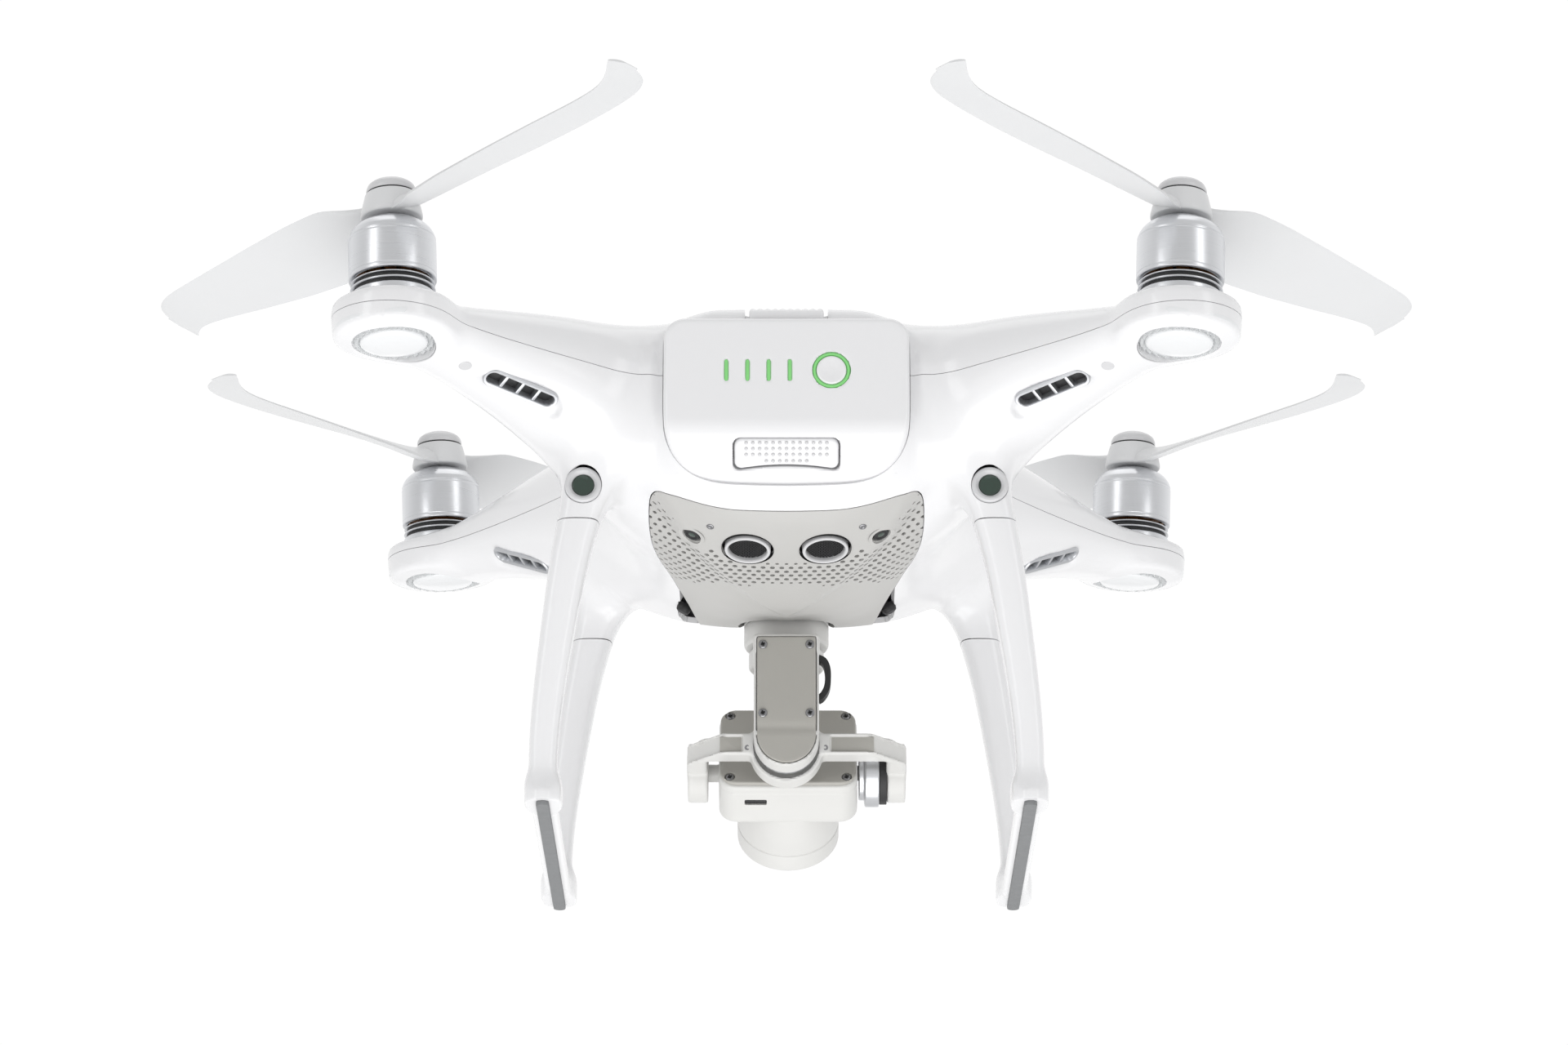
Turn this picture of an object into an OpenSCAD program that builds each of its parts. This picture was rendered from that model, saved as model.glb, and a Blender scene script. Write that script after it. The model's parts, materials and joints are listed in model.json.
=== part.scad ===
// Quadcopter with a gimballed camera. Millimetres. Origin on the ground under the centre of the
// motor square, +X right seen from behind, +Y forward (flight), +Z up.

/* [Airframe] */
// Diagonal distance between motor axes
wheelbase = 350; // [346:1:354]
// Lean of the motor axes about each plan axis, degrees
motor_lean = 2.4; // [1.8:0.2:3]
// Shell wall
wall = 2; // [1.8:0.1:2.2]

/* [Rotors] */
// Propeller radius
prop_r = 120; // [112:1:122]
// Motor bell radius
bell_r = 13.9; // [13.5:0.1:14.2]

// Rest angle of the rear blades from the X axis, degrees
rear_turn = 45; // [44:0.5:46]
// Rest angle of the front blades from the X axis, degrees
front_turn = 50; // [48:0.5:51]

/* [Landing gear] */
// Skid pad length
pad_len = 138; // [130:1:140]

/* [Camera] */
// Rest pitch of the camera below the horizon, degrees
pitch = 30; // [0:1:45]
// Lens barrel radius
lens_r = 17.3; // [16.8:0.1:17.5]

/* [Battery] */
// Half width of the battery end cap
cap_hw = 39.5; // [39:0.1:40]

/* [Hidden] */
$fn = 32;
eps = 0.01;
zc = 116.6;                       // height of the reference plane above the ground
md = wheelbase/(2*sqrt(2));       // motor offset in X and Y
mz = zc + 30.5;                   // top of an arm-end mount
shut = 0.4;                       // shut line between the shells
tilt_y = 47; tilt_z = zc - 74.2;  // tilt axis
roll_z = zc - 74.2;               // roll axis
yaw_y = 20;                       // yaw axis

// ---------- helpers ----------
function clamp01(a) = min(1, max(0, a));
function mixf(a, b, w) = a*(1 - w) + b*w;

// Closed loft through sections of equal point count, listed so that the first is at the start.
module loft(secs) {
  n = len(secs[0]); m = len(secs);
  polyhedron(
    points = [for (s = secs) for (p = s) p],
    faces = concat([[for (i = [0:n-1]) i]], [[for (i = [n-1:-1:0]) (m-1)*n + i]],
      [for (j = [0:m-2]) for (i = [0:n-1]) [j*n + i, (j+1)*n + i, (j+1)*n + (i+1)%n]],
      [for (j = [0:m-2]) for (i = [0:n-1]) [j*n + i, (j+1)*n + (i+1)%n, j*n + (i+1)%n]]));
}

// Rounded rectangle of eight points in a plane of constant z, wx by wy with corner cut c.
function rect8(cx, cy, z, wx, wy, c) = [
  [cx-wx/2+c, cy-wy/2, z], [cx+wx/2-c, cy-wy/2, z], [cx+wx/2, cy-wy/2+c, z],
  [cx+wx/2, cy+wy/2-c, z], [cx+wx/2-c, cy+wy/2, z], [cx-wx/2+c, cy+wy/2, z],
  [cx-wx/2, cy+wy/2-c, z], [cx-wx/2, cy-wy/2+c, z]];

module at_motor(sx, sy) {
  translate([sx*md, sy*md, mz]) rotate([sy*motor_lean, sx*motor_lean, 0]) children();
}
module each_motor() { for (sx = [-1, 1]) for (sy = [-1, 1]) at_motor(sx, sy) children(); }

module rbox(x0, x1, y0, y1, z0, z1, r) {
  translate([0, 0, z0]) linear_extrude(z1 - z0) translate([(x0+x1)/2, (y0+y1)/2])
    offset(r) square([x1-x0-2*r, y1-y0-2*r], center = true);
}

// ---------- shell surface ----------
// Angles away from an arm's own diagonal, and the plan radius there.
steps = [0, 2.6, 4.4, 5, 5.7, 7, 10, 13.5, 18.4, 26, 35, 45];
side_r = [[0, 181], [3.4, 180.2], [4.4, 176.3], [5, 163], [5.7, 150], [6.6, 140], [8, 131],
  [11, 114.5], [15.4, 97.5], [18.4, 88.5], [24, 78], [31, 70], [38, 65], [45, 63.5]];
function rear_r(phi) = phi < 15 ? lookup(phi, side_r)
  : mixf(lookup(phi, side_r), 100/cos(45 - phi), clamp01((phi - 13)/9));
crest = [[0, 31.5], [40, 30.2], [70, 27.3], [90, 23.6], [110, 20], [130, 15.5], [150, 10],
  [165, 6.5], [190, 5]];
d_diag = [[0, 54], [30, 51], [50, 45], [65, 37], [80, 28], [95, 21], [106, 17.5], [120, 14],
  [141, 10.5], [152, 7.2], [160, 5.3], [190, 4]];
d_rear = [[0, 54], [10, 55], [30, 52.5], [48, 49.5], [60, 46.5], [70, 43], [79, 39], [110, 30]];
d_front = [[0, 54], [5, 53.5], [20, 50.5], [35, 46.5], [50, 42], [66, 38]];
d_side = [[0, 54], [25, 52], [43, 47], [64, 40]];
seam_z = [[0, 20.5], [80, 21], [110, 22.5], [140, 24.5], [160, 25.5], [200, 25.7]];

// Sector 0 is +X, 1 is +Y (front), 2 is -X, 3 is -Y (rear).
angs = [for (q = [0:3]) for (h = [0, 1]) for (i = [0:len(steps)-2])
  let (k = h == 0 ? len(steps) - 1 - i : i)
  [q*90 + 45 + (h == 0 ? -steps[k] : steps[k]), steps[k], h == 0 ? q : (q + 1)%4]];

function plan_r(a) = a[2] == 3 ? rear_r(a[1]) : lookup(a[1], side_r) + (a[2] == 1 ? a[1]/18 : 0);
function depth(a, s) = let (w = lookup(a[1], a[2] == 3 ? [[8, 1], [19, 0]] : [[10, 1], [32, 0]]))
  mixf(lookup(s, a[2] == 3 ? d_rear : a[2] == 1 ? d_front : d_side), lookup(s, d_diag), w);
function prof(a, t, up) = let (
    sd = (a[2] % 2 == 0 && !up) ? 1 - lookup(a[1], [[12, 1], [38, 0]]) : 0,
    n = mixf(8, 3.2, sd), m = mixf(2.5, 1.7, sd)) pow(max(0, 1 - pow(t, n)), 1/m);

// Solid between the seam and the crowned surface above (up) or below it, shrunk by ins.
module crown(up, rings, ins, lip) {
  n = len(angs); m = len(rings);
  function pt(a, t, top) = let (r = max(4, plan_r(a) - ins), s = t*r,
      h = max(0.6, (up ? lookup(s, crest) : depth(a, s)) - ins)*prof(a, t, up),
      z0 = zc + lookup(s, seam_z))
    [s*cos(a[0]), s*sin(a[0]), top ? z0 + (up ? h + (t >= 1 ? lip : 0) : -h - (t >= 1 ? lip : 0))
      : z0 + (up ? -ins*2 : ins*2 - (ins == 0 ? shut : 0))];
  pts = concat([for (t = rings) for (a = angs) pt(a, t, true)], [for (a = angs) pt(a, 1, false)],
    [pt([0, 45, 0], 0, true), [0, 0, zc + 20.5 + (up ? -ins*2 : ins*2 - (ins == 0 ? shut : 0))]]);
  c = (m + 1)*n;
  f = concat([for (i = [0:n-1]) [c, i, (i+1)%n]],
    [for (j = [0:m-1]) for (i = [0:n-1]) [j*n + i, (j+1)*n + i, (j+1)*n + (i+1)%n]],
    [for (j = [0:m-1]) for (i = [0:n-1]) [j*n + i, (j+1)*n + (i+1)%n, j*n + (i+1)%n]],
    [for (i = [0:n-1]) [c + 1, m*n + (i+1)%n, m*n + i]]);
  polyhedron(points = pts, faces = up ? [for (g = f) [g[2], g[1], g[0]]] : f);
}
fine = [0.2, 0.4, 0.58, 0.73, 0.84, 0.92, 0.965, 0.99, 1];
rough = [0.4, 0.73, 0.84, 0.92, 0.965, 1];

module hollow(up) intersection() {
  crown(up, rough, wall, 0.8);
  translate([0, 0, zc - 60]) cylinder(r = 157.3, h = 130, $fn = 46);
}
module battery_bay() {
  translate([-37.2, -100, zc - 9.6]) cube([74.4, 134, 47.6]);
  // seat of the end cap, open to the rear
  translate([0, 0, zc - 60]) linear_extrude(120) polygon([[-40.2, -78.2], [40.2, -78.2],
    [66, -96], [66, -140], [-66, -140], [-66, -96]]);
}
module belly_outline(g) {
  offset(delta = g) polygon([[-39, -71], [39, -71], [43, -67.5], [44, -40.5], [41, -22], [35.5, -3.6],
    [31.2, 14], [28.6, 30.8], [26, 50], [22, 55], [-22, 55], [-26, 50], [-28.6, 30.8], [-31.2, 14],
    [-35.5, -3.6], [-41, -22], [-44, -40.5], [-43, -67.5]]);
}
module stub(sx, y, g) {
  loft([rect8(sx*67.2, y, zc - 22.4 - (g > 0 ? 1 : 0), 13.5 - g, 15 - g, 3),
    rect8(sx*65.2, y, zc - 14, 15 - g, 16 - g, 3), rect8(sx*62.5, y*0.985, zc - 4, 19 - g, 18 - g, 3),
    rect8(sx*58, y*0.95, zc + 8, 25 - g, 22 - g, 4)]);
}
module sensor_bores(r) {
  for (sx = [-1, 1]) for (sy = [-1, 1])
    translate([sx*65.3, sy*69.5, zc - 11.9]) rotate([sy > 0 ? -90 : 90, 0, 0])
      cylinder(r = r, h = 12, $fn = 32);
}

module upper_shell() color([0.95, 0.95, 0.95]) resize([0, 0, 0]) difference() {
  union() {
    difference() {
      crown(true, fine, 0, 1.2);
      hollow(true);
    }
    each_motor() translate([0, 0, -4]) cylinder(r = 19, h = 4, $fn = 48);
  }
  each_motor() { translate([0, 0, -6]) cylinder(r = 9, h = 10, $fn = 32); cylinder(r = 15.3, h = 6, $fn = 44); }
  battery_bay();
  translate([-13, -90, zc + 36]) cube([26, 22, 30]);
}

module lower_body() difference() {
  union() {
    difference() {
      union() {
        crown(false, fine, 0, 1.4);
        for (sx = [-1, 1]) for (sy = [-1, 1]) stub(sx, sy*66.2, 0);
      }
      hollow(false);
    }
    each_motor() translate([0, 0, -11]) cylinder(r = 19, h = 4.7, $fn = 40);
  }
  battery_bay();
  each_motor() {
    translate([0, 0, -12]) cylinder(r = 13.2, h = 5, $fn = 40);
    translate([0, 0, -12]) cylinder(r = 9, h = 10, $fn = 32);
  }
}
module lower_shell() color([0.94, 0.94, 0.94]) resize([0, 0, 0]) difference() {
  lower_body();
  translate([0, 0, zc - 60]) linear_extrude(60) belly_outline(0.2);
  translate([0, yaw_y, zc - 60]) cylinder(r = 16.25, h = 60);
  sensor_bores(5.95);
  for (p = vent_at) vent_place(p) translate([-12.4, -4.8, -12]) cube([24.8, 9.6, 24]);
}
module belly_cover() color([0.74, 0.73, 0.71]) resize([0, 0, 0]) difference() {
  intersection() {
    difference() { crown(false, fine, 0, 1.4); hollow(false); }
    translate([0, 0, zc - 60]) linear_extrude(60) belly_outline(-0.1);
  }
  battery_bay();
  translate([0, yaw_y, zc - 60]) cylinder(r = 16.25, h = 60);
  for (sx = [-1, 1]) {
    translate([sx*12.6, -53.5, zc - 60]) cylinder(r = 8.6, h = 60);
    translate([sx*31, -56, zc - 60]) cylinder(r = 4.6, h = 60, $fn = 24);
    translate([sx*24.6, -63, zc - 60]) cylinder(r = 1.3, h = 60, $fn = 12);
  }
  for (j = [0:3]) for (i = [-6:6])
    translate([i*4.4 + (j%2)*2.2, -38 + j*3.8, zc - 60]) cylinder(r = 0.9, h = 60, $fn = 6);
}
module belly_screws() color([0.3, 0.3, 0.32]) for (sx = [-1, 1])
  translate([sx*24.6, -63, zc - 24.4]) { cylinder(r = 1.2, h = 6, $fn = 16); }

// ---------- arm vents ----------
vent_at = [[-1, -1], [1, -1], [-1, 1], [1, 1]];
module vent_place(p) translate([p[0]*83, p[1]*85, zc + 9.2])
  rotate([0, 0, p[0]*p[1] > 0 ? 44 : -44]) rotate([0, p[0]*-10, 0]) children();
module arm_vents() color([0.7, 0.7, 0.72]) for (p = vent_at) vent_place(p) difference() {
  translate([0, 0, -1]) linear_extrude(2) offset(2, $fn = 24) square([20.2, 5], center = true);
  for (i = [-1.5:1:1.5]) translate([i*5.2, 0, 0]) cube([4.2, 6, 6], center = true);
}

// ---------- arm ends ----------
module led_lenses() color([0.9, 0.92, 0.92, 0.5]) each_motor() rotate_extrude($fn = 64)
  polygon([[0, -12.2], [6, -12.1], [10.5, -11.6], [12.4, -11], [12.9, -10.2], [12.9, -7.4],
    [11.6, -7.4], [11.6, -9.8], [5, -10.6], [0, -10.7]]);
module led_boards() color([0.1, 0.35, 0.2]) each_motor() difference() {
  translate([0, 0, -9.2]) { cylinder(r = 8.4, h = 1.2); for (i = [0:2]) rotate([0, 0, i*120])
    translate([4, -1, -0.7]) cube([2, 2, 0.7 + eps]); }
  translate([0, 0, -10.5]) cylinder(r = 1.4, h = 3, $fn = 16);
}
module motor_bases() color([0.72, 0.72, 0.74]) each_motor() difference() {
  union() {
    cylinder(r = 13.4, h = 3.9, $fn = 64);
    translate([0, 0, 3.9]) cylinder(r = 12.4, h = 1.2, $fn = 64);
    translate([0, 0, 5.1]) cylinder(r = 13.5, h = 0.7, $fn = 64);
  }
  translate([0, 0, -1]) cylinder(r = 3, h = 8);
  for (a = [45:90:315]) rotate([0, 0, a]) translate([8, 0, -1]) cylinder(r = 1.1, h = 3.5, $fn = 16);
}
module motor_stators() color([0.45, 0.32, 0.2]) each_motor() difference() {
  union() {
    translate([0, 0, 5.8]) cylinder(r = 4.6, h = 17);
    translate([0, 0, 9.6]) intersection() {
      cylinder(r = 11.6, h = 11, $fn = 64);
      union() { for (i = [0:11]) rotate([0, 0, i*30]) translate([0, -1.9, 0]) cube([12, 3.8, 11]);
        cylinder(r = 6, h = 11); }
    }
  }
  translate([0, 0, 5]) cylinder(r = 2.05, h = 20);
}

// ---------- rotors, local z = 0 on the arm-end mount ----------
module bell() color([0.74, 0.75, 0.77]) {
  rotate_extrude($fn = 72) polygon([[0, 23.2], [5.3, 23.2], [5.3, 27], [11.9, 25.2], [12.3, 24],
    [12.3, 8.9], [bell_r, 8.9], [bell_r, 22.9], [12.8, 25.4], [10.5, 27.7], [7, 29.2], [5.6, 29.7],
    [0, 29.7]]);
  translate([0, 0, 29.6]) cylinder(r = 4.5, h = 2.1);
  translate([0, 0, 6]) cylinder(r = 2, h = 17.5);
}
function blade_sec(r, le, te, dir, tw, th, zb) = let (
    c = le - te, mid = (le + te)/2,
    f = [for (i = [0:9]) let (q = i < 5 ? i/5 : (10 - i)/5, x = q - 0.5,
      hh = th*sqrt(max(0, q*(1.02 - q)))*(i < 5 ? 1 : -0.55)*1.6) [-x*c, hh + th*0.25 + 1.1*(0.25 - x*x)]])
  [for (p = f) [r, dir*(mid + p[0]*cos(tw)) , zb + p[0]*sin(tw) + p[1]*cos(tw)]];
// radius, leading edge, trailing edge, pitch, thickness
blade_tab = [[8, 5, -6, 20, 4.4], [14, 8, -9.5, 24, 3.2], [24, 12, -16, 25, 2.4], [40, 12, -18, 23, 1.9],
  [60, 11, -17, 20, 1.6], [80, 9.5, -15, 17, 1.4], [96, 8, -13, 15, 1.2], [106, 6.5, -12.5, 14, 1.1],
  [112, 4, -13.5, 13, 1], [117, 0, -16.5, 12, 0.9], [120, -6, -19, 11, 0.8], [121.5, -12, -19.8, 10, 0.7]];
module blades(dir) {
  k = prop_r/120;
  for (h = [0, 180]) rotate([0, 0, h])
    loft([for (b = blade_tab) let (s = blade_sec(b[0]*k, b[1], b[2], dir, b[3], b[4],
      31.6 + 4*pow(b[0]/120, 2)))
      dir > 0 ? s : [for (i = [len(s)-1:-1:0]) s[i]]]);
}
module propeller(dir, ang) color([0.93, 0.94, 0.95]) rotate([0, 0, ang]) difference() {
  union() {
    blades(dir);
    rotate_extrude($fn = 48) polygon([[0, 30.1], [9.6, 30.1], [9.9, 31.6], [8.3, 38.4], [0, 38.4]]);
  }
  translate([0, 0, 36]) cylinder(r = 6, h = 4);
  translate([0, 0, 30]) cylinder(r = 4.6, h = 1.8);
}
module hub_cap() color([0.8, 0.81, 0.83]) rotate_extrude($fn = 48)
  polygon([[0, 36], [6, 36], [6, 38.6], [7.9, 38.6], [7.9, 40.2], [7.1, 41.8], [5.2, 43], [2.6, 43.7], [0, 43.9]]);
module bell_rl() at_motor(-1, -1) bell();
module bell_rr() at_motor(1, -1) bell();
module bell_fl() at_motor(-1, 1) bell();
module bell_fr() at_motor(1, 1) bell();
module propeller_rl() at_motor(-1, -1) propeller(1, -rear_turn);
module propeller_rr() at_motor(1, -1) propeller(-1, rear_turn);
module propeller_fl() at_motor(-1, 1) propeller(-1, front_turn);
module propeller_fr() at_motor(1, 1) propeller(1, -front_turn);
module hub_cap_rl() at_motor(-1, -1) hub_cap();
module hub_cap_rr() at_motor(1, -1) hub_cap();
module hub_cap_fl() at_motor(-1, 1) hub_cap();
module hub_cap_fr() at_motor(1, 1) hub_cap();

// ---------- landing gear ----------
module gear(sx) color([0.93, 0.93, 0.93]) resize([0, 0, 0]) union() {
  for (sy = [-1, 1]) loft([
    rect8(sx*77.2, sy*62.5, 3.2, 8.6, 12, 2.5), rect8(sx*77.6, sy*63, 17, 8.8, 10.5, 2.5),
    rect8(sx*77, sy*63.6, 28, 9.4, 10.5, 2.6), rect8(sx*75.2, sy*64.4, 44, 10.2, 11.2, 2.7),
    rect8(sx*72.6, sy*65.2, 63, 11, 12.2, 2.8), rect8(sx*70.2, sy*66, 80, 12, 13.6, 3),
    rect8(sx*67.3, sy*66.5, zc - 22.8, 13.4, 14.9, 3)]);
  loft([for (q = [[-69, 3.6, 5.5], [-66, 7.6, 8.6], [-58, 8.6, 9], [-46, 8.2, 7.4], [0, 8, 6.6], [46, 8.2, 7.4],
      [58, 8.6, 9], [66, 7.6, 8.6], [69, 3.6, 5.5]])
    [for (p = [[-1, 1.6], [-1, q[2] - 1.8], [-0.55, q[2]], [0.55, q[2]], [1, q[2] - 1.8], [1, 1.6]])
      [sx*77.2 + p[0]*q[1]/2, q[0], p[1]]]]);
}
module landing_gear_left() gear(-1);
module landing_gear_right() gear(1);
module pad(sx) color([0.45, 0.45, 0.46]) translate([sx*77.2, 0, 0]) linear_extrude(1.6)
  hull() for (s = [-1, 1]) translate([0, s*(pad_len/2 - 2.05)]) circle(2.05);
module skid_pad_left() pad(-1);
module skid_pad_right() pad(1);

// ---------- sensors ----------
module sensor(sx, sy) translate([sx*65.3, sy*69.6, zc - 11.9]) rotate([sy > 0 ? -90 : 90, 0, 0])
  difference() {
    cylinder(r = 5.85, h = 6.4, $fn = 48);
    translate([0, 0, 5.2]) cylinder(r1 = 3.5, r2 = 4.6, h = 1.3, $fn = 48);
    translate([0, 0, 3.6]) cylinder(r = 3.5, h = 2, $fn = 48);
  }
module rear_sensors() color([0.8, 0.8, 0.82]) for (sx = [-1, 1]) sensor(sx, -1);
module front_sensors() color([0.8, 0.8, 0.82]) for (sx = [-1, 1]) sensor(sx, 1);
module sensor_windows() color([0.03, 0.12, 0.08]) for (sx = [-1, 1]) for (sy = [-1, 1])
  translate([sx*65.3, sy*73.2, zc - 11.9]) rotate([sy > 0 ? -90 : 90, 0, 0])
    cylinder(r = 3.5, h = 1.5, $fn = 48);
module ultrasonic_rings() color([0.92, 0.92, 0.92]) for (sx = [-1, 1])
  translate([sx*12.6, -53.5, zc - 28]) difference() {
    cylinder(r = 7.5, h = 8.5, $fn = 64);
    translate([0, 0, -1]) cylinder(r = 6.2, h = 3.6, $fn = 64);
  }
module ultrasonic_meshes() color([0.05, 0.05, 0.05]) for (sx = [-1, 1])
  translate([sx*12.6, -53.5, zc - 27.4]) difference() {
    cylinder(r = 6.2, h = 2, $fn = 64);
    for (i = [-2:2]) for (j = [-2:2]) translate([i*2, j*2, -1]) cylinder(r = 0.6, h = 2.2, $fn = 16);
  }
module belly_cameras() color([0.05, 0.05, 0.06]) for (sx = [-1, 1])
  translate([sx*31, -56, zc - 23.2]) { cylinder(r = 2.9, h = 3.4, $fn = 32);
    translate([0, 0, 2.2]) cylinder(r = 4.2, h = 5, $fn = 32); }

// ---------- inside ----------
module main_board() color([0.08, 0.3, 0.18]) { rbox(-30, 30, -30, 36, zc + 38.8, zc + 40.4, 3);
  rbox(-12, 2, -8, 6, zc + 40.3, zc + 42.2, 0.5); rbox(8, 20, 12, 24, zc + 40.3, zc + 41.8, 0.5); }
module esc_board() color([0.1, 0.25, 0.4]) { rbox(-30, 30, -44, -14, zc - 14.6, zc - 13, 2);
  for (i = [-1.5:1:1.5]) rbox(i*13 - 4, i*13 + 4, -36, -26, zc - 13.1, zc - 11.4, 0.5); }
module gps_module() color([0.6, 0.58, 0.5]) rbox(-12, 12, -28, -10, zc + 40.4, zc + 46.6, 1);
module battery_connector() color([0.1, 0.1, 0.1]) difference() {
  rbox(-17, 17, 34.3, 44, zc - 4, zc + 12, 1);
  for (i = [-1.5:1:1.5]) translate([i*8, 33, zc + 4]) rotate([-90, 0, 0]) cylinder(r = 1.6, h = 6, $fn = 16);
}
module damper_plate() color([0.2, 0.2, 0.21]) difference() {
  rbox(-26, 26, -8, 38, zc - 17, zc - 15.5, 5);
  translate([0, yaw_y, zc - 20]) cylinder(r = 8, h = 8);
  for (x = [-20, 20]) for (y = [-2, 32]) translate([x, y, zc - 20]) cylinder(r = 2.5, h = 8);
}
module dampers() color([0.12, 0.12, 0.12]) for (x = [-20, 20]) for (y = [-2, 32])
  translate([x, y, 0]) rotate_extrude($fn = 32) polygon([[0, zc-18.6], [3.4, zc-18.6], [3.4, zc-17.2],
    [2.3, zc-17.2], [2.3, zc-15.3], [3.8, zc-15.3], [4.4, zc-13], [3.6, zc-10.4], [0, zc-10.4]]);

// ---------- gimbal ----------
module yaw_motor() color([0.76, 0.75, 0.73]) translate([0, yaw_y, 0]) difference() {
  rotate_extrude($fn = 72) polygon([[0, zc-38.4], [13.4, zc-38.4], [14.2, zc-37.6], [14.2, zc-29],
    [13.2, zc-28], [10, zc-28], [10, zc-17.02], [0, zc-17.02]]);
  translate([0, 0, zc - 39]) cylinder(r = 3.05, h = 9, $fn = 32);
}
module yaw_arm() color([0.79, 0.78, 0.76]) difference() {
  union() {
    translate([0, yaw_y, zc - 46]) cylinder(r = 12.4, h = 6.4, $fn = 64);
    rbox(-10.8, 10.8, -2, yaw_y, zc - 46, zc - 39.6, 2);
    translate([0, 8, 0]) rotate([90, 0, 0]) linear_extrude(10) union() {
      translate([-10.8, roll_z]) square([21.6, zc - 39.6 - roll_z]);
      translate([0, roll_z]) circle(10.8, $fn = 64);
    }
    translate([0, yaw_y, zc - 40]) cylinder(r = 3, h = 9, $fn = 32);
  }
  // recess for the rear cover
  translate([0, -0.9, 0]) rotate([90, 0, 0]) linear_extrude(2) offset(0.1) cover2d();
  for (p = arm_screw_at) translate([p[0], -3, p[1]]) rotate([-90, 0, 0]) cylinder(r = 0.9, h = 6, $fn = 16);
}
arm_screw_at = [[-7.8, zc - 43], [7.8, zc - 43], [-7.8, zc - 67.1], [7.8, zc - 67.1]];
module cover2d() { union() { translate([-9.9, roll_z]) square([19.8, zc - 40.6 - roll_z]);
  translate([0, roll_z]) circle(9.9, $fn = 64); } }
module arm_cover() color([0.66, 0.65, 0.62]) difference() {
  translate([0, -0.9, 0]) rotate([90, 0, 0]) linear_extrude(1.5) cover2d();
  for (p = arm_screw_at) translate([p[0], -3, p[1]]) rotate([-90, 0, 0]) cylinder(r = 1.5, h = 6, $fn = 16);
}
module arm_screws() color([0.35, 0.35, 0.36]) for (p = arm_screw_at)
  translate([p[0], -2.1, p[1]]) rotate([-90, 0, 0]) difference() {
    union() { cylinder(r = 1.4, h = 1.2, $fn = 24); cylinder(r = 0.85, h = 4, $fn = 16); }
    translate([0, 0, -0.1]) cylinder(r = 0.6, h = 0.7, $fn = 6);
  }
module ribbon_cable() color([0.05, 0.05, 0.05]) translate([0, 7, 0]) rotate([90, 0, 0]) linear_extrude(5)
  polygon([[10.85, zc-47], [12.4, zc-47], [13.6, zc-50], [13.6, zc-56], [12.2, zc-60], [10.85, zc-60.5],
    [10.85, zc-59.7], [11.8, zc-59.2], [12.9, zc-55.7], [12.9, zc-50.3], [12, zc-47.8], [10.85, zc-47.8]]);
module roll_motor() color([0.5, 0.5, 0.52]) translate([0, 8, roll_z]) rotate([-90, 0, 0]) difference() {
  union() { cylinder(r = 10.3, h = 3, $fn = 64); cylinder(r = 9.6, h = 11.4, $fn = 64); }
  translate([0, 0, 4]) cylinder(r = 2.05, h = 9, $fn = 32);
}
module yoke_side(sx, xo) {
  // bar from the hub out to the side, then forward to the tilt axis
  translate([0, 0, roll_z - 4.7]) linear_extrude(7.7) polygon(sx > 0 ?
    [[11, 13], [24, 12.5], [34, 14.5], [xo, 22], [xo, 47], [xo - 6.3, 47], [xo - 6.3, 25],
     [30, 22.5], [11, 22.5]] :
    [[-11, 13], [-22, 12.5], [-29, 14.5], [-xo, 22], [-xo, 47], [-xo + 6.8, 47], [-xo + 6.8, 26],
     [-24, 22.5], [-11, 22.5]]);
}
module roll_yoke() color([0.79, 0.78, 0.76]) difference() {
  union() {
    translate([0, 13, roll_z]) rotate([-90, 0, 0]) cylinder(r = 13, h = 11, $fn = 64);
    yoke_side(1, 40.3); yoke_side(-1, 33.3);
    translate([34, tilt_y, tilt_z]) rotate([0, 90, 0]) cylinder(r = 10, h = 6.3, $fn = 64);
    translate([-33.3, tilt_y, tilt_z]) rotate([0, 90, 0]) cylinder(r = 10, h = 6.8, $fn = 64);
  }
  translate([0, 12, roll_z]) rotate([-90, 0, 0]) difference() {
    cylinder(r = 10.7, h = 8.4, $fn = 64); translate([0, 0, 1.5]) cylinder(r = 2, h = 8, $fn = 32);
  }
  translate([-34, tilt_y, tilt_z]) rotate([0, 90, 0]) cylinder(r = 3.05, h = 9, $fn = 32);
  for (s = [-1, 1]) translate([s*12.9, 12, roll_z - 0.8]) rotate([-90, 0, 0]) cylinder(r = 1, h = 3, $fn = 16);
  for (s = [-1, 1]) translate([s*19.5 - 3.5, 11.5, roll_z - 3]) cube([7, 1.8, 4.4]);
}
module tilt_motor() color([0.7, 0.7, 0.72]) translate([24.4, tilt_y, tilt_z]) rotate([0, 90, 0])
  difference() {
    union() { cylinder(r = 9.2, h = 2, $fn = 64); translate([0, 0, 2]) cylinder(r = 11.5, h = 5, $fn = 64);
      translate([0, 0, 7]) cylinder(r = 10.4, h = 2.6, $fn = 64); }
    translate([0, 0, -1]) cylinder(r = 2.55, h = 7, $fn = 32);
  }

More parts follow.
